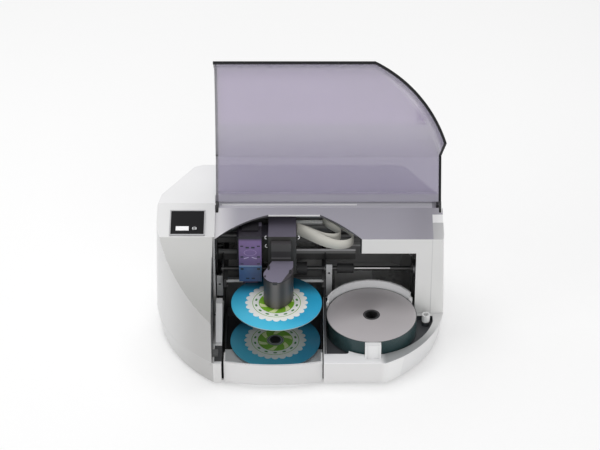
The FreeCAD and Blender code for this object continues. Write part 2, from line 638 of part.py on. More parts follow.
keep("drawer_disc", disc(disc_x, disc_y, s.drawer_seat_top))
keep("held_disc", disc(s.picker_x, s.picker_y, s.held_disc_bottom))
keep("disc_stack", group(*[
    disc(s.stack_x, s.picker_y, s.stack_bottom + number * s.disc_thickness)
    for number in range(SIZES["disc_count"])
]))


# Bin

def recess(spread):
    """The bin's recess in plan, spread outward by a wall."""
    x0, y0 = float(s.recess_left) - spread, float(s.recess_front) - spread
    notch = float(s.recess_notch_right)
    radius = float(s.disc_radius) + 2 + spread
    cx, cy = float(s.stack_x), float(s.picker_y)

    def on_ring(x):
        return point(x, cy - math.sqrt(radius ** 2 - (x - cx) ** 2))

    enter, leave = on_ring(notch), on_ring(cx + 12.8)
    right, arc_end = float(s.recess_right) + spread, float(s.recess_arc_end)
    side_end = float(s.recess_side_end) + spread
    inner_right = float(s.pillar_left) - 2.4 + spread
    rear = float(s.recess_rear) + spread
    corner = 4.0
    around = [
        point(right, arc_end), point(right, side_end), point(inner_right, side_end),
        point(inner_right, rear), point(x0, rear), point(x0, y0), point(notch - corner, y0),
    ]
    edges = [
        Part.Arc(enter, on_ring((notch + cx) / 2), leave),
        Part.Arc(leave, point(s.recess_mid_x + 0.7 * spread, s.recess_mid_y - 0.7 * spread), around[0]),
    ]
    edges += [Part.LineSegment(p, q) for p, q in zip(around, around[1:])]
    turned = point(notch, y0 + corner)
    edges.append(Part.Arc(around[-1], point(notch - 0.3 * corner, y0 + 0.3 * corner), turned))
    edges.append(Part.LineSegment(turned, enter))
    return Part.Face(closed(edges))


def bin_pan():
    low, high = float(s.split_height), float(s.split_height + s.rim_thickness)
    floor_low = float(s.pan_floor_top - s.rim_thickness)
    rear = s.recess_rear + s.pan_wall
    plate = Part.Face(case_outline(low, 0.2, 0.2, 0.2)).extrude(Vector(0, 0, high - low))
    ahead = block((s.pan_left, FAR), (-FAR, s.deck_depth - 0.4), (0, FAR))
    behind = block((s.pan_left, s.pillar_left - 0.4), (-FAR, rear), (0, FAR))
    plate = plate.common(ahead.fuse(behind))
    tub = recess(float(s.pan_wall)).extrude(Vector(0, 0, low - floor_low + 0.5))
    tub.translate(point(0, 0, floor_low))
    hollow = recess(0).extrude(Vector(0, 0, 40)).translated(point(0, 0, s.pan_floor_top))
    pan = plate.fuse(tub).cut(hollow)
    height = float(s.stack_bottom - s.pan_floor_top)
    seat_at = point(s.stack_x, s.picker_y, s.pan_floor_top)
    seat = Part.makeCylinder(float(s.stack_seat_outer), height, seat_at)
    pan = pan.fuse(seat.cut(Part.makeCylinder(float(s.stack_seat_inner), height, seat_at)))
    tall = float(s.boss_top - s.pan_floor_top)
    boss = Part.makeCylinder(float(s.boss_radius), tall, point(s.boss_x, s.boss_y, s.pan_floor_top))
    bore = Part.makeCylinder(float(s.boss_bore), tall, point(s.boss_x, s.boss_y, s.pan_floor_top + 1))
    return pan.fuse(boss).cut(bore).removeSplitter()


solid("bin_pan", bin_pan())


def sector(inner, outer, start, end, top):
    """An upright slice of a ring round the stack."""
    piece = rod(outer, top - s.pan_floor_top, s.stack_x, s.picker_y, s.pan_floor_top)
    piece.Placement.Rotation = Rotation(Vector(0, 0, 1), float(start))
    bind(piece, Angle=end - start)
    return cut(piece, rod(inner, top - s.pan_floor_top, s.stack_x, s.picker_y, s.pan_floor_top))


wall_inner = s.disc_radius + s.bin_wall_gap
wall_outer = wall_inner + s.bin_wall_thickness
keep("bin_back_wall", sector(wall_inner, wall_outer, s.bin_wall_start, s.bin_wall_end, s.bin_wall_top))
keep("bin_end_posts", group(*[
    sector(wall_inner - 0.5, wall_outer - 0.5, start, start + s.post_angle, s.post_top)
    for start in (s.bin_wall_start - 0.2 - s.post_angle, s.bin_wall_end + 0.2)
]))
rim_top = s.split_height + s.rim_thickness
post = box((s.front_post_left, s.front_post_right),
           (s.front_post_front, s.front_post_front + s.front_post_depth), (rim_top, s.front_post_top))
grooves = [
    box((x, x + s.groove_width), (s.front_post_front - 1, s.front_post_front + 1.2),
        (rim_top, s.front_post_top))
    for x in (s.front_post_left + 2.5, s.front_post_right - 2.5 - s.groove_width)
]
keep("bin_front_post", cut(post, *grooves))
keep("bin_partition", box((s.partition_left, s.partition_left + s.partition_thickness),
                          (s.partition_front, s.partition_rear), (rim_top, s.partition_top)))


# Guides and brackets

shelf_top = s.split_height - 2
keep("left_guide", padded("guide_fin", "YZ_Plane", [
    (s.guide_front, shelf_top), (s.guide_rear, shelf_top), (s.guide_rear, s.guide_top),
    (s.guide_knee, s.guide_top), (s.guide_front, s.guide_foot),
], s.guide_left, s.guide_right))
keep("lid_bumper", box((s.tower_right, s.bumper_right), (s.bumper_front, s.bumper_rear),
                       (shelf_top, s.bumper_top)))
for label, side, top in (("left_bracket", -1, s.left_bracket_top), ("right_bracket", 1, s.right_bracket_top)):
    face = s.frame_left - 0.2 if side < 0 else s.frame_right + 0.2
    near = (face - s.sheet, face) if side < 0 else (face, face + s.sheet)
    wide = (face - s.bracket_width, face) if side < 0 else (face, face + s.bracket_width)
    flange = box(near, (s.bracket_front, s.bracket_front + s.flange_depth), (s.flange_bottom, s.flange_top))
    plate = box(wide, (s.bracket_front, s.bracket_front + s.sheet), (s.bracket_bottom, top))
    hole = rod(s.bracket_hole, s.sheet + 2, (wide[0] + wide[1]) / 2, s.bracket_front - 1,
               top - s.bracket_hole_drop, "y")
    keep(label, cut(fuse(plate, flange), hole))


# Printer frame, tray and feed

floor_z = s.foot_height + s.wall
tray_top = s.tray_bottom + s.tray_thickness
shaft_z = tray_top + s.roller_radius + 0.1
plates = [
    box((x, x + s.sheet), (s.frame_front, s.frame_rear), (floor_z, s.frame_top))
    for x in (s.frame_left, s.frame_right - s.sheet)
]
bridge = box((s.frame_left - 6, s.bridge_right), (s.bridge_depth - s.sheet, s.bridge_depth),
             (s.bridge_bottom, s.bridge_top))
motor_plate = box((s.shaft_end, s.shaft_end + s.sheet), (s.frame_front + 1, s.frame_front + 18),
                  (floor_z, s.frame_top))
bores = [
    rod(s.bearing_radius + 0.02, s.sheet + 2, x - 1, s.shaft_y, shaft_z, "x")
    for x in (s.frame_left, s.frame_right - s.sheet, s.shaft_end)
]
keep("printer_frame", cut(group(fuse(bridge, *plates), motor_plate), *bores))
bearings = []
for x in (s.frame_left, s.frame_right - s.sheet, s.shaft_end):
    body = fuse(rod(s.bearing_radius, s.sheet, x, s.shaft_y, shaft_z, "x"),
                rod(s.bearing_radius + s.bearing_flange, 1, x - 1, s.shaft_y, shaft_z, "x"))
    shaft_bore = rod(s.shaft_radius + s.running_gap, s.sheet + 4, x - 2, s.shaft_y, shaft_z, "x")
    bearings.append(cut(body, shaft_bore))
keep("shaft_bearings", group(*bearings))
shaft_start = s.frame_left - 2
shaft_length = s.shaft_end + s.sheet - shaft_start
keep("feed_shaft", rod(s.shaft_radius, shaft_length, shaft_start, s.shaft_y, shaft_z, "x"))
roller_lefts = (s.tray_left + s.roller_inset, s.tray_right - s.roller_inset - s.roller_width)
keep("feed_rollers", group(*[
    cut(rod(s.roller_radius, s.roller_width, x, s.shaft_y, shaft_z, "x"),
        rod(s.shaft_radius, s.roller_width, x, s.shaft_y, shaft_z, "x"))
    for x in roller_lefts
]))
keep("shaft_sleeve", cut(rod(s.sleeve_radius, s.sleeve_length, s.sleeve_left, s.shaft_y, shaft_z, "x"),
                         rod(s.shaft_radius, s.sleeve_length, s.sleeve_left, s.shaft_y, shaft_z, "x")))
motor_x = s.shaft_end + s.sheet + s.fit_gap
keep("feed_motor", rod(s.feed_motor_radius, s.feed_motor_length, motor_x, s.shaft_y, shaft_z, "x"))
tray_rear = s.tray_front + s.tray_length
tray = box((s.tray_left, s.tray_right), (s.tray_front, tray_rear), (s.tray_bottom, tray_top))
pocket_y = s.tray_front + s.pocket_in
pocket = rod(s.disc_radius + 0.5, s.pocket_depth + 1, s.picker_x, pocket_y, tray_top - s.pocket_depth)
centre = rod(s.tray_hole, s.tray_thickness + 2, s.picker_x, pocket_y, s.tray_bottom - 1)
keep("printer_tray", cut(tray, pocket, centre))
rails = []
frame_faces = (s.frame_left + s.sheet, s.frame_right - s.sheet)
for side, plate_face, edge in zip((-1, 1), frame_faces, (s.tray_left, s.tray_right)):
    gap = 0.1 * side
    outer_x = plate_face - gap
    wall_x = edge + side * s.fit_gap
    lip_x = edge - side * s.rail_lip
    low, high = s.tray_bottom - s.fit_gap, tray_top + s.fit_gap
    span = (outer_x, wall_x) if side < 0 else (wall_x, outer_x)
    lips = (outer_x, lip_x) if side < 0 else (lip_x, outer_x)
    depth = (s.rail_front, s.frame_rear)
    rails.append(fuse(box(span, depth, (low - s.rail_web, high + s.rail_cap)),
                      box(lips, depth, (low - s.rail_web, low)), box(lips, depth, (high, high + s.rail_cap))))
keep("tray_rails", group(*rails))


# Carriage frame and drive

sides = []
for x in (s.rod_left - s.sheet, s.rod_right):
    sides.append(box((x, x + s.sheet), (s.carriage_rear - 4, s.plate_rear), (s.plate_bottom, s.plate_top)))
    sides.append(box((x, x + s.sheet), (s.plate_rear - 14, s.plate_rear), (floor_z, s.plate_bottom + 1)))
back_plate = box((s.rod_left - s.sheet, s.rod_right + s.sheet), (s.plate_rear - s.sheet, s.plate_rear),
                 (s.plate_bottom, s.plate_top))
shelf = box((s.rod_left, s.shelf_right), (s.plate_rear - s.sheet - s.shelf_depth, s.plate_rear),
            (s.shelf_bottom, s.shelf_bottom + s.sheet))
keep("carriage_frame", fuse(back_plate, shelf, *sides))
keep("guide_rod", rod(s.rod_radius, s.rod_right - s.rod_left, s.rod_left, s.rod_y, s.rod_z, "x"))
keep("encoder_strip", box((s.rod_left, s.rod_right), (s.strip_y, s.strip_y + 0.4),
                          (s.strip_bottom, s.strip_bottom + s.strip_height)))


def racetrack(radius):
    """A belt's loop round both pulleys at one radius."""
    low, high = s.belt_bottom, s.belt_bottom + s.belt_height
    straight = box((s.pulley_left, s.pulley_right), (s.pulley_y - radius, s.pulley_y + radius), (low, high))
    ends = [rod(radius, s.belt_height, x, s.pulley_y, low) for x in (s.pulley_left, s.pulley_right)]
    return fuse(straight, *ends)


belt_inner = s.pulley_radius + s.running_gap
keep("drive_belt", cut(racetrack(belt_inner + s.belt_thickness), racetrack(belt_inner)))
stub_low, stub_high = s.belt_bottom - 5.5, s.belt_bottom + s.belt_height + 6
motor_seat = stub_high + s.fit_gap
for label, x in (("idler_pulley", s.pulley_left), ("motor_pulley", s.pulley_right)):
    wheel = rod(s.pulley_radius, s.belt_height + 1, x, s.pulley_y, s.belt_bottom - 0.5)
    flanges = [
        rod(s.pulley_radius + s.pulley_lip, 1, x, s.pulley_y, z)
        for z in (s.belt_bottom - 1.5, s.belt_bottom + s.belt_height + 0.5)
    ]
    stub = rod(s.stub_radius, stub_high - stub_low, x, s.pulley_y, stub_low)
    keep(label, fuse(wheel, stub, *flanges))
keep("carriage_motor", rod(s.motor_radius, s.motor_height, s.pulley_right, s.pulley_y, motor_seat))
holders = []
for x in (s.pulley_left, s.pulley_right):
    for z in (stub_low + 0.7, motor_seat - s.holder_height):
        tab = box((x - s.holder_half, x + s.holder_half),
                  (s.pulley_y - s.holder_half, s.plate_rear - s.sheet), (z, z + s.holder_height))
        stub_hole = rod(s.stub_radius + s.running_gap, s.holder_height * 2, x, s.pulley_y, z - 1)
        holders.append(cut(tab, stub_hole))
keep("pulley_holders", group(*holders))


# Carriage

cradle_width = (s.carriage_left, s.block_left)
cradle = box(cradle_width, (s.cradle_front, s.carriage_rear), (s.cradle_bottom, s.cradle_top))
cradle_back = box((s.cartridge_left, s.cartridge_right),
                  (s.cradle_front, s.cradle_front + s.cradle_back_depth),
                  (s.cradle_top - 1, s.cartridge_top + 0.1))
head = box((s.block_left, s.carriage_right), (s.block_front, s.carriage_rear), (s.block_bottom, s.block_top))
lug_width = (s.carriage_left + 4, s.carriage_right - 3)
lug = box(lug_width, (s.carriage_rear, s.lug_rear), (s.lug_bottom, s.lug_top))
wall = s.wall
room = box((s.block_left + wall, s.carriage_right - wall), (s.block_front + wall, s.carriage_rear - wall),
           (s.block_bottom - 1, s.block_top - wall))
pinion_y = s.arm_rear + s.rack_gap + s.pinion_radius
slide_mid = (s.slide_left + s.slide_right) / 2
window = box((slide_mid - s.pinion_width / 2 - 1, slide_mid + s.pinion_width / 2 + 1),
             (s.block_front - 1, s.block_front + wall + 1),
             (s.pinion_z - s.pinion_radius - 1, s.pinion_z + s.pinion_radius + 1))
carriage_length = s.carriage_right - s.carriage_left
bore = rod(s.bushing_radius + 0.02, carriage_length, s.carriage_left, s.rod_y, s.rod_z, "x")
keep("carriage_body", cut(fuse(cradle, cradle_back, head, lug), room, window, bore))
bush_lefts = (s.carriage_left + 4, s.carriage_right - 3 - s.bushing_length)
keep("carriage_bushings", group(*[
    cut(rod(s.bushing_radius, s.bushing_length, x, s.rod_y, s.rod_z, "x"),
        rod(s.rod_radius + s.running_gap, s.bushing_length, x, s.rod_y, s.rod_z, "x"))
    for x in bush_lefts
]))
clamp_left = (s.carriage_left + s.carriage_right - s.clamp_width) / 2
belt_face = s.pulley_y - belt_inner - s.belt_thickness - 0.1
keep("belt_clamp", box((clamp_left, clamp_left + s.clamp_width), (belt_face - 5, belt_face),
                       (s.lug_top, s.belt_bottom + s.belt_height + 2)))
nose = s.cartridge_bottom + s.nozzle_height
cartridge_depths = (s.cartridge_front, s.cartridge_rear)
shell = box((s.cartridge_left, s.cartridge_right), cartridge_depths, (nose, s.cartridge_top))
nozzle = box((s.cartridge_left + 5, s.cartridge_right - 5), (s.cartridge_front + 5, s.cartridge_rear - 5),
             (s.cartridge_bottom, nose))
keep("ink_cartridge", fuse(shell, nozzle))
keep("cartridge_latch", box((s.cartridge_left + 4, s.cartridge_right - 4),
                            (s.cartridge_rear - 12, s.cradle_front + 8),
                            (s.cartridge_top + 0.1, s.cartridge_top + 2)))
lift_motor_left = s.carriage_right - wall - s.lift_motor_length
keep("lift_motor", rod(s.lift_motor_radius, s.lift_motor_length, lift_motor_left,
                       s.carriage_rear - wall - s.lift_motor_radius, s.pinion_z + 12, "x"))
pinion_x = slide_mid - s.pinion_width / 2
keep("lift_pinion", fuse(
    rod(s.pinion_radius, s.pinion_width, pinion_x, pinion_y, s.pinion_z, "x"),
    rod(s.stub_radius, s.carriage_right - s.block_left - wall * 2 - 0.2, s.block_left + wall + 0.1, pinion_y,
        s.pinion_z, "x"),
))


def ribbon_cable():
    """A flat cable on edge: out from the carriage, round a loose bend and back to the shelf."""
    z = float(s.ribbon_bottom)
    half = float(s.ribbon_thickness) / 2
    start = s.carriage_right + 0.1
    reach = s.ribbon_reach
    leave = s.carriage_rear - 9
    dip = s.deck_depth + s.ribbon_clear
    tail = s.plate_rear - s.sheet - s.shelf_depth - 0.1
    route = [
        (start, leave), (start + reach * 0.36, leave - (leave - dip) * 0.51),
        (start + reach * 0.63, dip + 5.5), (start + reach * 0.84, dip), (start + reach, dip + 12.5),
        (start + reach * 0.97, dip + 29.5), (start + reach * 0.81, dip + 41.5),
        (start + reach * 0.57, tail - 12.4), (start + reach * 0.52, tail),
    ]
    route = [point(x, y, z) for x, y in route]
    middle = Part.BSplineCurve()
    middle.interpolate(route)
    faces = []
    for side in (half, -half):
        shifted = []
        for place in route:
            along = middle.tangent(middle.parameter(place))[0]
            shifted.append(place + Vector(-along.y, along.x, 0) * side)
        face = Part.BSplineCurve()
        face.interpolate(shifted)
        faces.append(face)
    first, second = faces
    far_cap = Part.LineSegment(first.EndPoint, second.EndPoint)
    near_cap = Part.LineSegment(second.StartPoint, first.StartPoint)
    ring = [edge.toShape() for edge in (first, far_cap, second, near_cap)]
    return Part.Face(Part.Wire(Part.__sortEdges__(ring))).extrude(Vector(0, 0, float(s.ribbon_height)))


solid("ribbon_cable", ribbon_cable())


# Picker

left, right = s.column_left, s.column_right
column = padded("picker_column", "XY_Plane", [
    (left, s.column_shoulder, (left + s.column_flank, s.column_front_left)),
    (s.picker_x + 3, s.column_front, (right - 8, s.column_front_right)), (right, s.column_side),
    (right, s.slide_front), (left + s.column_step, s.slide_front), (left + s.column_flank, s.column_waist),
], s.column_bottom, s.column_top)
slide = box((s.slide_left, s.slide_right), (s.slide_front, s.arm_rear), (s.slide_bottom, s.slide_top))
keep("picker_arm", fuse(column, slide))
disc_top = s.held_disc_bottom + s.disc_thickness
flange = rod(s.hub_flange, s.column_bottom - disc_top - 0.1, s.picker_x, s.picker_y, disc_top + 0.1)
core = rod(s.hub_radius, disc_top + 0.2 - s.hub_bottom, s.picker_x, s.picker_y, s.hub_bottom)
keep("gripper_hub", fuse(flange, core))
for number in range(3):
    angle = 90 + 120 * number
    reach = s.disc_hole_radius - 0.2
    finger = box((reach - s.finger_length, reach), (-s.finger_width / 2, s.finger_width / 2),
                 (s.finger_bottom, disc_top))
    holder = group(finger)
    holder.Placement.Rotation = Rotation(Vector(0, 0, 1), angle)
    bind(holder, Placement__Base__x=s.picker_x)
    holder.addProperty("App::PropertyString", "FrontDepth")
    holder.FrontDepth = s.picker_y.text
    keep(f"gripper_finger_{number + 1}", holder)


# Label, button and board

SLOPE = math.degrees(math.atan2(float(s.hinge_line_height - s.slope_end_height),
                                float(s.hinge_line_depth - s.deck_depth)))


def on_slope(thing, x, y, rise):
    """Lay a piece on the tower's slope, its own origin at a depth and a rise above the surface."""
    tilt = math.radians(SLOPE)
    thing.Placement.Rotation = Rotation(Vector(1, 0, 0), SLOPE) * thing.Placement.Rotation
    return at(thing, x, y - sized(rise) * math.sin(tilt), slope_height(y) + sized(rise) * math.cos(tilt))


def slope_box(x, length, low, high, y):
    block_ = doc.addObject("Part::Box", "plate")
    bind(block_, Length=sized(x[1]) - x[0], Width=length, Height=sized(high) - low)
    return on_slope(block_, x[0], y, low)


plate_length = s.label_end - s.label_start
rim = s.label_frame
outer = slope_box((s.label_left, s.label_right), plate_length, 0.05, s.label_thickness + 0.4, s.label_start)
hollow = slope_box((s.label_left + rim, s.label_right - rim), plate_length - 2 * rim, -1, 4,
                   s.label_start + rim)
keep("label_frame", cut(outer, hollow))
inner = rim + 0.1
plate = slope_box((s.label_left + inner, s.label_right - inner), plate_length - 2 * inner, 0.05,
                  s.label_thickness, s.label_start + inner)
half = s.button_length / 2
well = slope_box((s.button_x - half - 0.3, s.button_x + half + 0.3), s.button_width + 0.6, -1, 4,
                 s.button_depth - s.button_width / 2 - 0.3)
keep("label_plate", cut(plate, well))
keep("power_button", slope_box((s.button_x - half, s.button_x + half), s.button_width, s.button_travel + 0.2,
                               s.label_thickness + s.button_proud, s.button_depth - s.button_width / 2))
lens = doc.addObject("Part::Cylinder", "lens")
bind(lens, Radius=s.lens_radius, Height=0.8)
keep("status_lens", on_slope(lens, s.lens_x, s.button_depth, s.label_thickness + 0.05))
board = box((s.board_left, s.board_right), (s.board_front, s.board_rear),
            (s.board_bottom, s.board_bottom + s.board_thickness))
posts = [
    rod(s.standoff_radius, s.board_bottom - floor_z, x, y, floor_z)
    for x in (s.board_left + 6, s.board_right - 6) for y in (s.board_front + 6, s.board_rear - 6)
]
keep("control_board", fuse(board, *posts))


def finished(thing):
    return not {"Invalid", "Error"} & set(thing.State)


doc.recompute()
for thing in doc.Objects:
    if not finished(thing):
        raise RuntimeError(f"{thing.Label} did not build: {thing.State}")
os.makedirs("parts", exist_ok=True)
for part in PARTS:
    if part.Shape.isNull() or not part.Shape.isValid():
        raise RuntimeError(f"{part.Label} has no valid shape")
    part.Shape.exportStep(f"parts/{part.Label}.step")
    print(part.Label, len(part.Shape.Solids), round(part.Shape.Volume))
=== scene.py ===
import json
import math

import bmesh
import bpy
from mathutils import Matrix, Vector


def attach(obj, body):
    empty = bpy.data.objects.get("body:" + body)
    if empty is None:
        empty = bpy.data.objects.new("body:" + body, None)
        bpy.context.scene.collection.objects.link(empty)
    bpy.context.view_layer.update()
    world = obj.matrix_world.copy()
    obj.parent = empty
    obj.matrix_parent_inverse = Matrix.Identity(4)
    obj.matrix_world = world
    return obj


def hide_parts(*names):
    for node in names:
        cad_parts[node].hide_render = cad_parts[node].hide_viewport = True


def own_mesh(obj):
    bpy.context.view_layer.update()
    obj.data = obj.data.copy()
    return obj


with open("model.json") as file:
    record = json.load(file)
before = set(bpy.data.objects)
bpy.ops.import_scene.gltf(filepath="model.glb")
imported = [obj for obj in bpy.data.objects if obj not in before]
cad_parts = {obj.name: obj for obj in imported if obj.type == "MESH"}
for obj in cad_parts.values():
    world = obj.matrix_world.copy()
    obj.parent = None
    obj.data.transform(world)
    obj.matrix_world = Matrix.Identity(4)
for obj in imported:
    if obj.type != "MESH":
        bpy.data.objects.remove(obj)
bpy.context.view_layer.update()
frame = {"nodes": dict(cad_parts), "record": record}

# Places in the model, in mm: x runs right, depth runs back from the case's front plane, z runs up.
CASE_MIDDLE = 134.0  # depth of the origin
CASE_SPLIT = 36.0  # height where the lower case meets the upper
TOWER_RIGHT = -112.5  # the tower's wall beside the bay
DECK_FRONT, DECK_REAR = 107.8, 184.2
HINGE_DEPTH, HINGE_HEIGHT = 170.0, 172.0
LID_TURN = math.radians(frame["record"]["behaviour"]["joints"][0]["range_deg"][1])
DISC_X, DISC_DEPTH = -31.0, 79.0  # where the picker holds a disc
DRAWER_DISC_OFFSET = 2.0  # the disc in the drawer lies this far left and ahead of it
STACK_X = 95.0
BOSS_X, BOSS_DEPTH, BOSS_REACH = 168.0, 92.0, 5.75
CARTRIDGE_X = -66.0
LENS_X = -139.0


def spot(x, depth, z):
    """A place given in mm, as a point in the scene."""
    return Vector((x, depth - CASE_MIDDLE, z)) / 1000


# ---------------------------------------------------------------- shader maths

class Signal:
    """A shader socket that takes part in sums; each sum adds its Math node."""

    def __init__(self, shader, socket):
        self.shader = shader
        self.socket = socket

    def __add__(self, other):
        return self.shader.maths("ADD", self, other)

    def __sub__(self, other):
        return self.shader.maths("SUBTRACT", self, other)

    def __mul__(self, other):
        return self.shader.maths("MULTIPLY", self, other)

    def __truediv__(self, other):
        return self.shader.maths("DIVIDE", self, other)

    def __pow__(self, other):
        return self.shader.maths("POWER", self, other)

    def __rsub__(self, other):
        return self.shader.maths("SUBTRACT", other, self)

    def __lt__(self, other):
        return self.shader.maths("LESS_THAN", self, other)

    def __gt__(self, other):
        return self.shader.maths("GREATER_THAN", self, other)

    def __abs__(self):
        return self.shader.maths("ABSOLUTE", self)

    __radd__ = __add__
    __rmul__ = __mul__

    def either(self, other):
        """The larger of two masks."""
        return self.shader.maths("MAXIMUM", self, other)

    def between(self, low, high):
        return (self > low) * (self < high)

    def ramp(self, low, high):
        """0 below low, 1 above high and a smooth rise between them."""
        values = {0: self, 1: low, 2: high, 3: 0.0, 4: 1.0}
        return self.shader.node("ShaderNodeMapRange", {"interpolation_type": "SMOOTHSTEP"}, values)


class Shader:
    """The nodes of one finish, or of the room's light; all of them come from the node method."""

    def __init__(self, name, holder=None):
        self.holder = holder or bpy.data.materials.new(name)
        self.holder.use_nodes = True
        self.tree = self.holder.node_tree
        self.tree.nodes.clear()

    def node(self, kind, settings=None, values=None, output=0):
        made = self.tree.nodes.new(kind)
        for name, setting in (settings or {}).items():
            setattr(made, name, setting)
        for name, value in (values or {}).items():
            if isinstance(value, Signal):
                self.tree.links.new(value.socket, made.inputs[name])
            else:
                made.inputs[name].default_value = value
        return Signal(self, made.outputs[output]) if made.outputs else None

    def maths(self, operation, *terms):
        return self.node("ShaderNodeMath", {"operation": operation}, dict(enumerate(terms)))

    def place(self):
        """Three signals: x, depth and z, all in mm at rest."""
        where = self.node("ShaderNodeTexCoord", output="Object")
        x, y, z = [self.node("ShaderNodeSeparateXYZ", values={0: where}, output=axis) for axis in range(3)]
        return x * 1000, y * 1000 + CASE_MIDDLE, z * 1000

    def around(self, x, depth):
        """Measures from an upright axis: across and along in mm, the radius, and the angle round it."""
        here = self.place()
        across, along = here[0] - x, here[1] - depth
        radius = (across * across + along * along) ** 0.5
        return across, along, radius, self.maths("ARCTAN2", along, across)

    def facing(self, axis):
        """How far the surface's own normal points along an axis."""
        normal = self.node("ShaderNodeTexCoord", output="Normal")
        return self.node("ShaderNodeSeparateXYZ", values={0: normal}, output=axis)

    def inward(self, x, depth, z):
        """1 where a surface faces a point inside the machine."""
        here = self.place()
        away = [self.facing(axis) * (here[axis] - middle) for axis, middle in enumerate((x, depth, z))]
        return (away[0] + away[1] + away[2]) < 0

    def cloud(self, scale, detail=3.0, stretch=(1, 1, 1)):
        """Noise of about 0 to 1, its scale in features per metre."""
        where = self.node("ShaderNodeTexCoord", output="Object")
        pulled = self.node("ShaderNodeMapping", {}, {"Vector": where, "Scale": stretch})
        return self.node("ShaderNodeTexNoise", {}, {"Vector": pulled, "Scale": scale, "Detail": detail})

    def tint(self, low, high, amount):
        """A colour between two colours."""
        ends = [colour if isinstance(colour, Signal) else (*colour, 1) for colour in (low, high)]
        values = {0: amount, 6: ends[0], 7: ends[1]}
        return self.node("ShaderNodeMix", {"data_type": "RGBA"}, values, output=2)

    def painted(self, base, *coats):
        """Lay coats over a base, each a colour and the mask of where it goes."""
        for colour, mask in coats:
            base = self.tint(base, colour, mask)
        return base

    def bump(self, height, distance):
        return self.node("ShaderNodeBump", {}, {"Height": height, "Distance": distance})

    def surface(self, **values):
        """Close the material with a Principled surface; underscores stand for spaces."""
        named = {name.replace("_", " "): value for name, value in values.items()}
        return self.output(self.node("ShaderNodeBsdfPrincipled", {}, named))

    def output(self, shade, kind="Material"):
        self.node(f"ShaderNodeOutput{kind}", {}, {"Surface": shade})
        return self.holder


def grey(level):
    return (level, level, level)


def shaded(colour, amount):
    return tuple(channel * amount for channel in colour)


def moulded(name, colour, roughness, coat=0.0, mottle=0.03, grain=0.00003, grain_scale=2500,
            coats=None, shine=0.5):
    """Moulded plastic: a faint mottle, a fine grain, a soft sheen, and painted coats where it has them."""
    shader = Shader(name)
    cloud = shader.cloud(18, 4)
    base = shader.tint(shaded(colour, 1 - mottle), colour, cloud.ramp(0.3, 0.7))
    if coats:
        base = shader.painted(base, *coats(shader))
    rough = cloud * 0.08 + (roughness - 0.04)
    normal = shader.bump(shader.cloud(grain_scale, 2), grain)
    return shader.surface(Base_Color=base, Roughness=rough, Normal=normal, Coat_Weight=coat,
                          Coat_Roughness=0.12, Specular_IOR_Level=shine)


def rolled(name, colour, roughness, stretch=(1, 30, 30), scratch=0.12, coats=None, metal=1.0):
    """Sheet or drawn metal, uncoated or painted: brushed along its length, a little uneven."""
    shader = Shader(name)
    lines = shader.cloud(120, 4, stretch)
    base = shader.tint(shaded(colour, 1 - scratch), colour, lines.ramp(0.3, 0.7))
    if coats:
        base = shader.painted(base, *coats(shader))
    rough = lines * 0.2 + (roughness - 0.1)
    normal = shader.bump(lines, 0.00002)
    return shader.surface(Base_Color=base, Roughness=rough, Metallic=metal, Normal=normal)


# ---------------------------------------------------------------- finishes

WHITE = (0.8, 0.8, 0.805)
LAVENDER = (0.35, 0.34, 0.385)
NEAR_BLACK = (0.012, 0.012, 0.013)
GOING_BACK = (96.0, 150.0)  # the depths over which the tower's shade gives way to white


def painted_inside_shade(shader, depth):
    """The inside of the case in painted shade: near black by the opening and a mid grey further back."""
    return shader.tint((0.03, 0.03, 0.031), (0.34, 0.34, 0.342), depth.ramp(145.0, 200.0))


def painted_tower_shade(shader, x, outer, by_bay):
    """The tower's wall in painted shade, from light at its outer end to a grey by the bay."""
    return shader.tint(outer, by_bay, x.ramp(-192.0, -128.0))


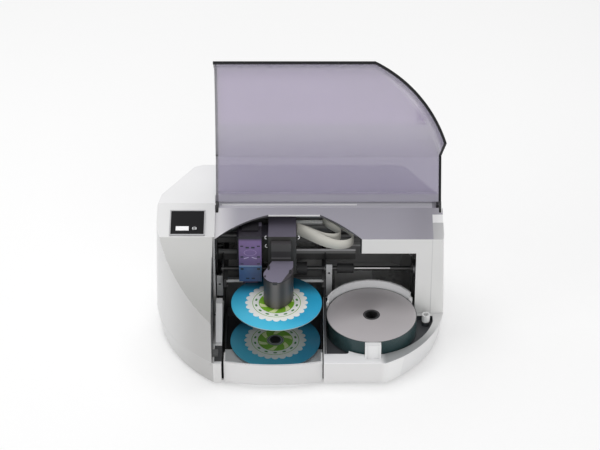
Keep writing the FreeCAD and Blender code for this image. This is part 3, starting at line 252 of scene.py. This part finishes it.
def housing_coats(shader):
    """The upper case: painted shade on the tower, the lavender deck and lid trough, the pillar's front and
    the inside, and a painted highlight in the lid trough.
    """
    x, depth, z = shader.place()
    up, back = shader.facing(2), shader.facing(1)
    left, right = x < TOWER_RIGHT - 0.4, x > TOWER_RIGHT + 0.1

    tower = left * (depth < DECK_FRONT - 0.1)
    # Painted shade: the tower's wall and sides grey towards the bay, its sloped face (the sail) is darker
    # towards the bottom, and its brow is a little grey.
    wall = painted_tower_shade(shader, x, grey(0.67), (0.46, 0.455, 0.45))
    side = left * (1 - depth.ramp(*GOING_BACK)) * (abs(up) < 0.3)
    sail = shader.tint((0.35, 0.35, 0.34), (0.46, 0.46, 0.45), z.ramp(90.0, 166.0))
    brow = left * (depth > DECK_FRONT - 0.1) * (back < -0.1) * (up > 0.6)
    brow_grey = shader.tint(grey(0.66), grey(0.6), x.ramp(-182.0, -122.0))
    # Painted shade: a near-black strip along the tower's edge by the bay, where a gap falls dark.
    edge = tower * (x > -115.6) * (z < 150.0)

    # Painted shade of the open lid: the deck greys to lavender from a lighter left end and is darkest at its
    # right end; its corner past the lid's shadow stays light, with a darker patch in front; the arch's cut
    # walls are dark lavender and the trough's floor is grey.
    deck = right * depth.between(DECK_FRONT + 0.1, DECK_REAR) * (up > 0.8) * (z > 150.0)
    sheen = shader.tint((0.62, 0.61, 0.63), LAVENDER, x.ramp(-114.0, -78.0))
    sheen = shader.tint(sheen, shaded(LAVENDER, 0.9), x.ramp(120.0, 170.0))
    corner = deck * (x > 175.5) * (depth < 150.5)
    lower_corner = corner * (depth < 136.5)
    arch = abs(shader.facing(0)).between(0.15, 0.99) * (abs(up) < 0.3)
    arch = arch * right * (x < 130.0) * depth.between(108.5, 165.0) * (z > 134.0)

    trough = depth.between(160.0, 195.0) * (z > 150.0) * (up > -0.5)
    floor = right * (x < 176.0) * depth.between(162.0, DECK_REAR) * z.between(168.0, 169.2) * (up > 0.8)
    # Painted highlight: a bright line along the trough's floor by the hinge.
    strip = floor * x.between(-104.0, 76.0) * depth.between(173.0, 176.4)

    # Painted shade: the front faces right of the bay are greyer than the white case, darker higher up.
    front = (x > 60.0) * (back < -0.6)
    pillar = shader.tint((0.76, 0.76, 0.75), (0.7, 0.7, 0.695), z.ramp(60.0, 120.0))
    seam = (abs(x - 174.5) < 0.6) * (back < -0.6) * (z < 158.0)
    inside = shader.inward(0, 190.0, 100.0) * (1 - trough)
    return [
        (wall, tower.either(side)), (brow_grey, brow), (pillar, front), (sail, tower * (up > 0.3)),
        (sheen, deck), (grey(0.82), corner), ((0.47, 0.47, 0.475), lower_corner),
        ((0.62, 0.61, 0.66), floor), ((0.97, 0.97, 0.98), strip), (shaded(LAVENDER, 0.3), arch),
        (grey(0.6), seam), (grey(0.55), z.between(CASE_SPLIT, CASE_SPLIT + 0.5)),
        (painted_inside_shade(shader, depth), inside), (NEAR_BLACK, edge),
    ]


def base_coats(shader):
    """The lower case: painted shade round the tower and across its front, light at its right corner, with a
    dark ledge and an inside in painted shade.
    """
    x, depth, z = shader.place()
    # Painted shade: the wall round the tower greys towards the bay.
    wrap = (x < TOWER_RIGHT - 1.0) * (1 - depth.ramp(*GOING_BACK))
    wall = painted_tower_shade(shader, x, grey(0.64), (0.49, 0.485, 0.48))
    # Painted light and shade: the front faces are greyer than the white case, darkest at the left, and
    # lighter than it on the slanted faces at the right.
    front = (x > TOWER_RIGHT - 0.5) * (depth < 16.0) * (shader.facing(1) < -0.6)
    face = shader.tint((0.67, 0.665, 0.66), (0.73, 0.725, 0.725), x.ramp(-110.0, 0.0))
    face = shader.tint(face, grey(0.86), x.ramp(104.0, 118.0))
    seam = z.between(CASE_SPLIT - 0.4, CASE_SPLIT + 0.2) * ((x < TOWER_RIGHT - 0.5).either(depth > 110.0))
    ledge = x.between(TOWER_RIGHT - 0.1, -101.0) * depth.between(8.0, 42.0) * (z > 30.0)
    inside = shader.inward(0, 136.0, 20.0) * (z < 33.0)
    return [(wall, wrap), (face, front), (grey(0.5), seam), ((0.05, 0.05, 0.052), ledge),
            (painted_inside_shade(shader, depth), inside)]


def pan_coats(shader):
    """The bin's pan: a rim that greys round the corner and a recess near black, both painted shade, and a
    white boss tube.
    """
    x, depth, z = shader.place()
    near_boss = shader.around(BOSS_X, BOSS_DEPTH)[2] < BOSS_REACH
    inner = shader.inward(STACK_X, DISC_DEPTH, 60.0).either(near_boss)
    # Painted shade: the recess under the stack is near black with its upward faces a little lighter, and the
    # rim is darker towards its front corner.
    recess_shade = shader.tint((0.03, 0.035, 0.04), (0.1, 0.105, 0.115), shader.facing(2).ramp(0.3, 1.0) * 0.5)
    corner = shader.tint((0.31, 0.32, 0.325), grey(0.74), depth.ramp(40.0, 92.0))
    return [(corner, x.ramp(104.0, 114.0) * (z > 37.0)), (recess_shade, (z < 37.4) * inner),
            (grey(0.85), near_boss * (z > 38.1))]


def smoked_sheet():
    """The lid's smoked lavender sheet, its rim and its right edge dark and closed, its tint and see-through
    varied by place as painted shade.
    """
    shader = Shader("smoked_lid_sheet")
    x, depth, z = shader.place()
    back, rise = depth - HINGE_DEPTH, z - HINGE_HEIGHT
    # Where the sheet lies once the lid is closed: its reach in front of the hinge, and its height.
    reach = back * -math.cos(LID_TURN) + rise * math.sin(LID_TURN)
    height = back * math.sin(LID_TURN) + rise * math.cos(LID_TURN) + HINGE_HEIGHT
    shoulder = 64.5  # reach at which the sheet's right edge starts to curve in
    behind = (reach < shoulder) * ((x > 184.6).either(height < 158.0))
    rim = (height < 46.0).either(behind)
    # Painted light and shade: the sheet's tint and see-through change by place, lighter and clearer away from
    # the hinge, darker and denser low down, on its side facets and along its left edge, and lighter but
    # denser by the hinge, where it stands in for the shaded case behind it.
    left_edge = x < -108.6
    side = x.ramp(148.0, 165.0) * (reach > 66.0) * (height < 140.0)
    low = 1 - height.ramp(60.0, 110.0)
    hinge_end = 1 - reach.ramp(11.0, 19.0)
    cloud = shader.cloud(9, 2)
    base = shader.painted(
        (0.17, 0.13, 0.28), ((0.22, 0.17, 0.33), reach.ramp(40.0, 100.0)),
        ((0.3, 0.21, 0.43), reach.ramp(98.0, 110.0)), ((0.12, 0.105, 0.17), low),
        ((0.3, 0.285, 0.36), hinge_end), ((0.17, 0.15, 0.22), cloud * 0.3),
        ((0.07, 0.06, 0.09), left_edge), ((0.004, 0.004, 0.005), rim),
    )
    see = 0.57 - reach.ramp(62.0, 100.0) * 0.08 - reach.ramp(61.0, 63.6) * 0.06
    see = see + low * 0.3 + side * 0.14 + hinge_end * 0.2 + left_edge * 0.1
    rough = cloud * 0.05 + 0.1 + rim * 0.75
    return shader.surface(Base_Color=base, Roughness=rough, Alpha=see.either(rim), IOR=1.45)


def printed_disc(name, centre_x, centre_depth, painted_dimming):
    """A made-up print: blue field, a white rosette with leaf dots, and a green middle with pale rays, under a
    painted highlight, a painted shade on the far side and a painted dimming.
    """
    petals, leaf_dots, rays = 12, 14, 6
    shader = Shader(name)
    across, along, radius, angle = shader.around(centre_x, centre_depth)
    blue, white, green, pale = (0.03, 0.42, 0.7), (0.95, 0.97, 0.93), (0.22, 0.5, 0.03), (0.8, 0.9, 0.45)
    # Painted highlight: the blue field lightens towards the front left.
    field = shader.tint(blue, (0.08, 0.6, 0.86), (across * -0.7 - along).ramp(0.0, 60.0))
    scallop = abs(shader.maths("COSINE", angle * petals)) ** 0.6 * 4.5 + 37.0
    turn = shader.maths("FRACT", angle * (leaf_dots / math.tau) + 20)
    dot_across, dot_out = (turn - 0.5) * 12.4, radius - 27.5
    dots = (dot_across * dot_across * 0.3 + dot_out * dot_out) < 2.2
    sweep = shader.maths("COSINE", angle * rays + radius * 0.22) > 0.45
    colour = shader.painted(
        field, (white, (scallop - radius).ramp(-0.3, 0.3)), (green, radius.between(31.2, 32.0)),
        ((0.1, 0.3, 0.08), dots), (green, radius < 23.5), (pale, sweep * radius.between(13.0, 22.5)),
        ((0.33, 0.34, 0.35), radius < 11.5), ((0.08, 0.08, 0.09), radius.between(9.6, 10.3)),
        # Painted shade: the dimming greys the disc, and its far side darkens to near black.
        ((0.3, 0.45, 0.5), abs(shader.facing(2)) < 0.5), ((0.1, 0.105, 0.105), painted_dimming),
        ((0.003, 0.02, 0.035), along.ramp(14.0, 44.0) * 0.85),
    )
    rough = shader.cloud(60, 3) * 0.08 + 0.2
    return shader.surface(Base_Color=colour, Roughness=rough, Coat_Weight=0.5, Coat_Roughness=0.08)


def blank_discs():
    """The stack of blank discs: a pinkish silver top with a darker wedge of painted reflection and a dark hub
    ring, and dark teal edges.
    """
    stack_bottom, pitch = 33.0, 1.2
    shader = Shader("blank_disc_stack")
    z = shader.place()[2]
    across, along, radius, angle = shader.around(STACK_X, DISC_DEPTH)
    # Painted reflection: a darker wedge across the top of the stack.
    sheen = shader.maths("COSINE", angle - 2.2) * 0.5 + 0.5
    top = shader.painted(
        (0.5, 0.48, 0.49), ((0.36, 0.34, 0.35), sheen.ramp(0.5, 1.0)),
        ((0.56, 0.5, 0.52), shader.cloud(7, 2).ramp(0.4, 0.8) * 0.3),
    )
    hub = shader.tint((0.012, 0.012, 0.012), (0.075, 0.075, 0.078), radius.between(8.4, 10.2))
    side = abs(shader.facing(2)) < 0.5
    line = abs(shader.maths("FRACT", (z - stack_bottom) / pitch) - 0.5) > 0.38
    edge = shader.tint((0.022, 0.06, 0.065), (0.006, 0.014, 0.016), line)
    colour = shader.painted(top, (hub, radius < 11.2), (edge, side * (radius > 40.0)),
                            ((0.06, 0.07, 0.07), radius.between(59.2, 60.5) * (1 - side)))
    rough = shader.cloud(40, 3) * 0.1 + 0.3
    normal = shader.bump(line * side, 0.0002)
    return shader.surface(Base_Color=colour, Roughness=rough, Normal=normal, Coat_Weight=0.15,
                          Coat_Roughness=0.2)


def cartridge_skin():
    """The ink cartridge: violet above, blue below, with plain dark marks, a pale line where they meet and a
    painted highlight across its front.
    """
    meeting = 110.0  # height where violet and blue meet
    shader = Shader("ink_cartridge_skin")
    x, depth, z = shader.place()
    cloud = shader.cloud(60, 3)
    upper = shader.tint((0.09, 0.05, 0.16), (0.2, 0.12, 0.3), (cloud + z.ramp(105.0, 135.0)) * 0.5)
    lower = shader.tint((0.03, 0.05, 0.15), (0.07, 0.15, 0.33), cloud)
    aside = abs(x - CARTRIDGE_X)
    marks = aside.between(9.0, 13.0) * (z.between(140.5, 142.5) + z.between(123.0, 125.2)
                                        + z.between(112.0, 113.6) + z.between(103.0, 106.0))
    marks = marks + aside.between(1.5, 6.0) * (z.between(138.0, 140.6) + z.between(88.0, 90.0))
    # Painted highlight: a pale slanted line across the front.
    glint = aside.between(2.0, 8.5) * (abs(z - 124.2 + aside * 0.35) < 0.7) * (shader.facing(1) < -0.5)
    rise, spread = (z - 131.0) / 5.0, aside / 8.6
    oval = (rise * rise + spread * spread).between(0.74, 1.0)
    colour = shader.painted(
        lower, (upper, z.ramp(meeting - 1.0, meeting)),
        ((0.3, 0.42, 0.62), z.between(meeting - 1.4, meeting)), ((0.3, 0.2, 0.42), oval),
        ((0.006, 0.005, 0.012), marks), ((0.5, 0.42, 0.62), glint),
        ((0.012, 0.01, 0.015), z.ramp(148.5, 154.5)), ((0.05, 0.04, 0.09), z < 84.2),
    )
    rough = cloud * 0.1 + 0.3
    gloss = (1 - z.ramp(148.0, 152.0)) * 0.2
    return shader.surface(Base_Color=colour, Roughness=rough, Coat_Weight=gloss, Coat_Roughness=0.15)


def head_coats(shader):
    """The carriage in painted light and shade: lavender on top, dark in front."""
    return [((0.115, 0.105, 0.14), shader.facing(2) > 0.6), ((0.03, 0.029, 0.028), shader.facing(1) < -0.5)]


def picker_coats(shader):
    """The picker: a lavender top in painted light with a dark corner, a warm dark column with painted
    highlights, and a plain slide behind it in painted shade.
    """
    x, depth, z = shader.place()
    up = shader.facing(2) > 0.6
    slide = depth > 111.5
    column = 1 - slide
    # Painted light: the column's top faces are lavender.
    top = up * column
    corner = (x - depth * 0.46) > -54.3
    clamp = ((x - depth * 0.443) < -86.3) * (depth > 86.0)
    rim = (1 - up) * z.between(119.6, 121.0) * column
    # Painted highlight: two upright bands of light down the column.
    glow = abs(x + 33.0).ramp(9.0, 1.0) * 0.7 + abs(x + 17.0).ramp(6.0, 0.0) * 0.4
    skin = shader.tint((0.034, 0.029, 0.027), (0.16, 0.142, 0.135), glow)
    # Painted shade: the slide's faces are near black, a little lighter above.
    step = shader.tint(grey(0.017), grey(0.05), z.ramp(136.0, 137.0))
    return [
        (skin, column), ((0.19, 0.175, 0.235), top), ((0.05, 0.045, 0.05), up * corner),
        ((0.02, 0.018, 0.02), top * clamp), (grey(0.01), rim), (step, slide * (1 - up)),
        (grey(0.1), slide * z.between(125.0, 126.6)),
    ]


def frame_coats(shader):
    """The printer's sheet frame: black, with a painted highlight along the top of the bridge and a side edge
    painted black as shade.
    """
    x, depth, z = shader.place()
    # Painted highlight: the bridge's top edge and the face under it are light, its left part grey where it
    # falls in shade; a side edge is painted black to hide its light.
    bridge_highlight = shader.tint(grey(0.12), (0.5, 0.5, 0.51), x > -45.0)
    lip = z.between(90.0, 94.4) * depth.between(171.9, 176.1)
    return [(grey(0.2), lip), (bridge_highlight, (z > 94.4) * depth.between(171.9, 174.5)),
            (NEAR_BLACK, x.between(33.0, 36.0) * (depth < 171.0))]


def back_coats(shader):
    """The carriage's back plate: black, with an uncoated strip behind the guide rod and its top faces lighter
    as painted light.
    """
    x, depth, z = shader.place()
    band = z.between(118.0, 131.0) * (x > -30.0) * (shader.facing(1) < -0.5)
    # Painted light: the top faces above the rod are lighter.
    return [(grey(0.5), band), ((0.34, 0.34, 0.35), (z > 146.0) * (shader.facing(2) > 0.6))]


def belt_coats(shader):
    """The drive belt: black in front, with a pale toothed back on its far run."""
    x, depth, z = shader.place()
    far = depth > 184.0
    teeth = shader.tint((0.85, 0.85, 0.83), (0.97, 0.97, 0.95), shader.maths("SINE", x * 3.14) > 0)
    return [(teeth, far * (x > -8.0)), (grey(0.12), far * (x < -8.0)), ((0.13, 0.13, 0.125), 1 - far)]


def board_coats(shader):
    """The control board: grey lacquer in uneven patches, with its unlacquered end by the carriage."""
    x, depth, z = shader.place()
    patches = shader.cloud(110, 1).ramp(0.5, 0.64)
    return [((0.24, 0.24, 0.245), patches * 0.8), (grey(0.7), x.between(48.0, 100.0))]


def shaft_coats(shader):
    """The feed shaft: a painted highlight along one side on a stretch at the right, dark elsewhere."""
    x, depth, z = shader.place()
    flank = shader.facing(2).between(0.35, 0.8) * (shader.facing(1) < 0.0) * x.between(73.0, 121.0)
    return [(grey(0.7), flank)]


def tray_coats(shader):
    """The printer's tray: lighter further in as painted light, with a pale front edge as a painted highlight
    and an uncoated strip at the back.
    """
    x, depth, z = shader.place()
    strip = x.between(-5.0, 20.5) * depth.between(216.0, 226.0)
    # Painted light: the tray lightens further in, where little light reaches; painted highlight: the front
    # faces of its edge are pale.
    return [((0.6, 0.6, 0.595), depth.ramp(135.0, 195.0)), ((0.9, 0.9, 0.88), strip),
            (grey(0.62), (z < 69.3) * (shader.facing(1) < -0.5))]


def lens_coats(shader):
    """The status lens: a dark bar down its middle."""
    return [((0.02, 0.02, 0.022), abs(shader.place()[0] - LENS_X) < 1.7)]


slot_finish = {
    "white_shell": moulded("white_case_plastic", WHITE, 0.36, coat=0.15, mottle=0.015),
    "pale_trim": moulded("pale_bin_plastic", (0.55, 0.55, 0.56), 0.4, mottle=0.04),
    "foot_rubber": moulded("foot_rubber", (0.02, 0.02, 0.022), 0.8, mottle=0.2, grain=0.0001,
                           grain_scale=900),
    "screw_steel": rolled("screw_steel", (0.55, 0.55, 0.57), 0.3),
    "black_plastic": moulded("black_moulding", (0.018, 0.018, 0.02), 0.45, mottle=0.3),
    "smoked_lid": smoked_sheet(),
    "sheet_metal": rolled("zinc_sheet", (0.42, 0.42, 0.43), 0.5, metal=0.0),
    "motor_case": rolled("motor_can", (0.16, 0.16, 0.165), 0.4),
    "roller_rubber": moulded("roller_rubber", (0.014, 0.014, 0.015), 0.7, mottle=0.2, grain=0.0001),
    "cartridge_shell": cartridge_skin(),
    "ribbon_film": moulded("ribbon_film", (0.56, 0.55, 0.5), 0.45, mottle=0.06),
    "strip_film": moulded("encoder_film", (0.12, 0.12, 0.13), 0.25, mottle=0.1),
    "guide_plastic": moulded("guide_plastic", (0.5, 0.5, 0.52), 0.4, mottle=0.05),
    "label_silver": rolled("label_frame_silver", (0.4, 0.4, 0.41), 0.35, metal=0.0),
    "label_black": moulded("label_black", (0.005, 0.005, 0.006), 0.6, mottle=0.2, shine=0.12),
    "button_white": moulded("button_white", (0.8, 0.8, 0.81), 0.25, coat=0.3, mottle=0.02),
    "lens_clear": moulded("lens_clear", (0.42, 0.43, 0.45), 0.2, coat=0.4, mottle=0.05, coats=lens_coats),
}
node_finish = {
    "upper_housing": moulded("case_shell_plastic", WHITE, 0.36, coat=0.15, mottle=0.015, coats=housing_coats),
    "base_tray": moulded("case_base_plastic", WHITE, 0.36, coat=0.15, mottle=0.015, coats=base_coats),
    "bin_pan": moulded("bin_pan_plastic", (0.82, 0.82, 0.83), 0.42, coats=pan_coats),
    "hinge_arms": moulded("hinge_arm_black", NEAR_BLACK, 0.5, mottle=0.2),
    # Painted shade: the drawer front is the case's white plastic made greyer.
    "drawer_front": moulded("drawer_front_shaded_plastic", (0.71, 0.705, 0.705), 0.36, coat=0.15, mottle=0.015),
    "lid_bumper": moulded("bumper_grey", grey(0.16), 0.5, mottle=0.1),
    "drawer_disc": printed_disc("drawer_disc_print", DISC_X - DRAWER_DISC_OFFSET,
                                DISC_DEPTH - DRAWER_DISC_OFFSET, painted_dimming=0.32),
    "held_disc": printed_disc("held_disc_print", DISC_X, DISC_DEPTH, painted_dimming=0.0),
    "disc_stack": blank_discs(),
    "carriage_body": moulded("carriage_shell", (0.05, 0.047, 0.055), 0.42, mottle=0.12, coats=head_coats),
    "cartridge_latch": moulded("latch_black", (0.012, 0.011, 0.014), 0.5, mottle=0.2, shine=0.25),
    "picker_arm": moulded("picker_shell", (0.05, 0.047, 0.05), 0.4, coat=0.1, mottle=0.1, coats=picker_coats),
    "printer_frame": rolled("black_frame_sheet", grey(0.055), 0.5, metal=0.0, coats=frame_coats),
    "carriage_frame": rolled("back_plate_sheet", (0.14, 0.14, 0.141), 0.5, metal=0.0, coats=back_coats),
    "tray_rails": moulded("rail_black", (0.08, 0.08, 0.081), 0.5, mottle=0.2),
    "printer_tray": moulded("print_tray_black", (0.031, 0.031, 0.032), 0.5, mottle=0.06, coats=tray_coats),
    "guide_rod": rolled("dark_guide_rod", grey(0.06), 0.4, stretch=(60, 1, 1), metal=0.0),
    "drive_belt": moulded("drive_belt_rubber", NEAR_BLACK, 0.65, mottle=0.2, coats=belt_coats),
    "control_board": moulded("control_board_lacquer", grey(0.4), 0.4, mottle=0.2, coats=board_coats),
    "bin_partition": moulded("partition_black", (0.02, 0.021, 0.024), 0.5, mottle=0.2),
    "left_guide": moulded("left_guide_plastic", (0.72, 0.72, 0.73), 0.4),
    "left_bracket": rolled("left_bracket_zinc", (0.62, 0.62, 0.63), 0.5, metal=0.0),
    "right_bracket": rolled("right_bracket_zinc", (0.6, 0.6, 0.61), 0.5, metal=0.0),
    "bin_back_wall": moulded("bin_wall_plastic", (0.8, 0.8, 0.81), 0.4),
    "bin_end_posts": moulded("end_post_plastic", grey(0.9), 0.4, mottle=0.02),
    "feed_shaft": rolled("feed_shaft_steel", grey(0.015), 0.4, stretch=(60, 1, 1), metal=0.0,
                         coats=shaft_coats),
    "shaft_bearings": moulded("bearing_black", (0.03, 0.03, 0.031), 0.4, mottle=0.2),
}
slot_of = {part["node"]: part["material_slot"] for part in frame["record"]["subparts"]}
for node in frame["nodes"]:
    materials = frame["nodes"][node].data.materials
    materials.clear()
    materials.append(node_finish.get(node) or slot_finish[slot_of[node]])


# ---------------------------------------------------------------- small pieces made here

def settle(form, name, body, finish):
    """Turn a mesh in the making into a piece that rides on a body."""
    mesh = bpy.data.meshes.new(name)
    bmesh.ops.recalc_face_normals(form, faces=form.faces)
    form.to_mesh(mesh)
    form.free()
    mesh.materials.append(finish)
    made = bpy.data.objects.new(name, mesh)
    bpy.context.scene.collection.objects.link(made)
    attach(made, body)
    return made


def add_prism(form, corners, bottom, top, bevel):
    """Add a bevelled upright prism over corners given in plan, all in mm."""
    rings = [[form.verts.new(spot(x, depth, level)) for x, depth in corners] for level in (bottom, top)]
    faces = [form.faces.new(ring) for ring in rings]
    count = len(corners)
    for number in range(count):
        after = (number + 1) % count
        faces.append(form.faces.new((rings[0][number], rings[0][after], rings[1][after], rings[1][number])))
    bmesh.ops.recalc_face_normals(form, faces=faces)
    edges = list({edge for face in faces for edge in face.edges})
    bmesh.ops.bevel(form, geom=edges, offset=bevel / 1000, segments=2, profile=0.5, affect="EDGES")


def add_skin(form, rows, smooth_sides):
    """Join rows of corners into a closed skin; only the numbered sides are shaded smooth."""
    count = len(rows[0])
    for near, far in zip(rows, rows[1:]):
        for side in range(count):
            after = (side + 1) % count
            face = form.faces.new((near[side], near[after], far[after], far[side]))
            face.smooth = side in smooth_sides
    form.faces.new(rows[0])
    form.faces.new(rows[-1])


def direction(points, number):
    """Which way a line of points runs at one of them."""
    return points[min(number + 1, len(points) - 1)] - points[max(number - 1, 0)]


def add_wire(form, points, radius, sides=10):
    """Add a round wire along points; its radius is in mm."""
    turns = [math.tau * side / sides for side in range(sides)]
    rows = []
    for number, point in enumerate(points):
        ahead = direction(points, number)
        across = ahead.cross(Vector((0.1, 0.2, 1))).normalized()
        over = ahead.cross(across).normalized()
        ring = [point + (across * math.cos(turn) + over * math.sin(turn)) * radius / 1000 for turn in turns]
        rows.append([form.verts.new(place) for place in ring])
    add_skin(form, rows, range(sides))


def cable_hooks():
    """Three white wire hooks on the carriage's head, where the cables are clipped."""
    bend, wire, depth = 2.5, 0.6, 122.5
    form = bmesh.new()
    for x, z, start in ((-43.9, 151.8, 100), (-43.4, 138.2, 110), (-3.1, 151.8, -80)):
        turns = [math.radians(start + 20 * step) for step in range(9)]
        arc = [spot(x + bend * math.cos(turn), depth, z + bend * math.sin(turn)) for turn in turns]
        add_wire(form, arc, wire)
    return settle(form, "cable_hooks", "carriage", slot_finish["button_white"])


def picker_catch():
    """The small black catch on the front of the picker's column."""
    left, right, front, rear = -36.0, -29.6, 62.4, 64.4
    form = bmesh.new()
    corners = [(left, front), (right, front), (right, rear), (left, rear)]
    add_prism(form, corners, 117.6, 121.4, bevel=0.4)
    return settle(form, "picker_catch", "lift", slot_finish["black_plastic"])


def oval(x, depth, half_width, half_depth, steps=12):
    """The corners of an oval in plan."""
    turns = [math.tau * step / steps for step in range(steps)]
    return [(x + half_width * math.cos(turn), depth + half_depth * math.sin(turn)) for turn in turns]


def picker_grips():
    """Three black rubber grips let into the rim of the picker's top."""
    bottom = 119.4
    form = bmesh.new()
    add_prism(form, oval(-41.4, 96.5, 1.7, 5.2), bottom, 122.0, bevel=0.4)
    add_prism(form, oval(-45.9, 77.5, 1.1, 2.2), bottom, 121.8, bevel=0.3)
    add_prism(form, oval(-12.9, 87.5, 1.6, 4.4), bottom, 122.0, bevel=0.4)
    return settle(form, "picker_grips", "lift", slot_finish["roller_rubber"])


def bin_wall_teeth():
    """Small teeth along the top of the bin's rear wall."""
    half, inner, outer = 0.8, 61.7, 63.8
    form = bmesh.new()
    for tooth in range(6):
        turn = math.radians(50 + 14.8 * tooth)
        along, out = Vector((-math.sin(turn), math.cos(turn))), Vector((math.cos(turn), math.sin(turn)))
        square = [(-half, inner), (half, inner), (half, outer), (-half, outer)]
        corners = [Vector((STACK_X, DISC_DEPTH)) + out * reach + along * side for side, reach in square]
        add_prism(form, corners, 67.6, 69.4, bevel=0.25)
    return settle(form, "bin_wall_teeth", "case", slot_finish["pale_trim"])


def line_through(points):
    """Points along a smooth line that follows the given ones."""
    curve = bpy.data.curves.new("route", "CURVE")
    curve.dimensions = "3D"
    spline = curve.splines.new("NURBS")
    spline.points.add(len(points) - 1)
    for point, place in zip(spline.points, points):
        point.co = (*place, 1)
    spline.order_u = 3
    spline.use_endpoint_u = True
    curve.resolution_u = 10
    guide = bpy.data.objects.new("route", curve)
    line = bpy.data.meshes.new_from_object(guide)
    bpy.data.objects.remove(guide)
    return [vertex.co.copy() for vertex in line.vertices]


def add_band(form, lower, upper, thickness):
    """Add a flat band between a lower and an upper route, its thickness in mm."""
    lows, highs = line_through(lower), line_through(upper)
    rows = []
    for number, (low, high) in enumerate(zip(lows, highs)):
        side = direction(lows, number).cross(high - low).normalized() * thickness / 2000
        rows.append([form.verts.new(place) for place in (low - side, low + side, high + side, high - side)])
    add_skin(form, rows, (1, 3))


def ribbon_strip():
    """Two flat cables on edge: from the head, round their loose bends, to the shelf behind."""
    middle, droop_start = 144.8, 134  # height of the cables' middle line, and the depth where one droops
    form = bmesh.new()
    # x, depth, and how far the cable leans there
    outer = [(-4.7, 153, 4), (5, 146.5, 4), (20, 134, 4), (35, 122, 2), (50, 115, 0), (66, 118, -1),
             (73, 132, -1), (66, 150, -1), (52, 164, -1), (38, 174, 0), (34.1, 180.4, 0)]
    inner = [(-4.7, 156, 4), (8, 150, 4), (20, 140, 3), (34, 131, 2), (50, 132, 0), (56, 143, 0),
             (46, 158, 0), (34, 170, 0), (30.5, 180.4, 0)]
    for route, half_height, droop in ((outer, 7.4, 0.0), (inner, 6.2, 0.09)):
        levels = [middle - droop * max(0, depth - droop_start) for x, depth, lean in route]
        lower = [spot(x, depth - lean, level - half_height) for (x, depth, lean), level in zip(route, levels)]
        upper = [spot(x, depth + lean, level + half_height) for (x, depth, lean), level in zip(route, levels)]
        add_band(form, lower, upper, 0.5)
    strip = settle(form, "ribbon_strip", "carriage", slot_finish["ribbon_film"])
    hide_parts("ribbon_cable")
    tuple(spot(-4.9, 160, 145.5))
    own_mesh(strip)
    return strip


cable_hooks()
picker_catch()
picker_grips()
bin_wall_teeth()
ribbon_strip()


# ---------------------------------------------------------------- floor, light and camera

def seen_directly(shader):
    """1 for rays that go straight to the eye, or to it by way of gloss or clear plastic."""
    names = ("Is Camera Ray", "Is Glossy Ray", "Is Transmission Ray")
    straight, gloss, clear = [shader.node("ShaderNodeLightPath", output=name) for name in names]
    return straight.either(gloss).either(clear)


def floor_finish():
    """A pale cloth floor that keeps the shadows and glows a little."""
    shader = Shader("pale_floor")
    cloth = shader.node("ShaderNodeBsdfDiffuse", {}, {"Color": (0.99, 0.99, 0.99, 1)})
    glow = shader.node("ShaderNodeEmission", {}, {"Color": (1, 1, 1, 1), "Strength": 1.0})
    mixed = shader.node("ShaderNodeMixShader", {}, {0: seen_directly(shader) * 0.36, 1: cloth, 2: glow})
    return shader.output(mixed)


def room_light(strength):
    """An even room, white where it is seen and dimmer where it lights."""
    shader = Shader("studio", bpy.data.worlds.new("studio"))
    dim = shader.node("ShaderNodeBackground", {}, {"Color": (1, 1, 1, 1), "Strength": strength})
    white = shader.node("ShaderNodeBackground", {}, {"Color": (1, 1, 1, 1), "Strength": 1.0})
    mixed = shader.node("ShaderNodeMixShader", {}, {0: seen_directly(shader), 1: dim, 2: white})
    return shader.output(mixed, "World")


def softbox(name, place, size, power):
    """A soft rectangular lamp that points at the middle of the machine."""
    lamp = bpy.data.lights.new(name, "AREA")
    lamp.shape = "RECTANGLE"
    lamp.size, lamp.size_y = size
    lamp.energy = power
    light = bpy.data.objects.new(name, lamp)
    bpy.context.scene.collection.objects.link(light)
    light.location = place
    light.rotation_euler = (Vector((0, 0, 0.1)) - Vector(place)).to_track_quat("-Z", "Y").to_euler()
    return light


def take_view(place, tilt, lens):
    """Set the camera at a place in metres, tilted up from straight down by an angle in degrees."""
    eye = bpy.data.cameras.new("camera")
    eye.lens = lens
    eye.sensor_width = 36
    eye.clip_end = 50
    camera = bpy.data.objects.new("camera", eye)
    bpy.context.scene.collection.objects.link(camera)
    camera.location = place
    camera.rotation_euler = (math.radians(tilt), 0, 0)
    bpy.context.scene.camera = camera


bpy.ops.mesh.primitive_plane_add(size=14, location=(0, 0, -0.0002))
floor = bpy.context.object
floor.name = "floor"
floor.data.materials.append(floor_finish())
bpy.context.scene.world = room_light(0.48)
softbox("top_light", (-0.2, 0.5, 1.9), (1.6, 1.2), 17)
softbox("left_light", (-1.9, -0.9, 1.1), (1.2, 1.2), 8)
softbox("front_light", (0.4, -2.2, 1.1), (1.6, 1.0), 13)
take_view((0, -2.5975, 1.9827), tilt=55, lens=144)
bpy.context.scene.view_settings.view_transform = "Standard"

bpy.context.view_layer.update()
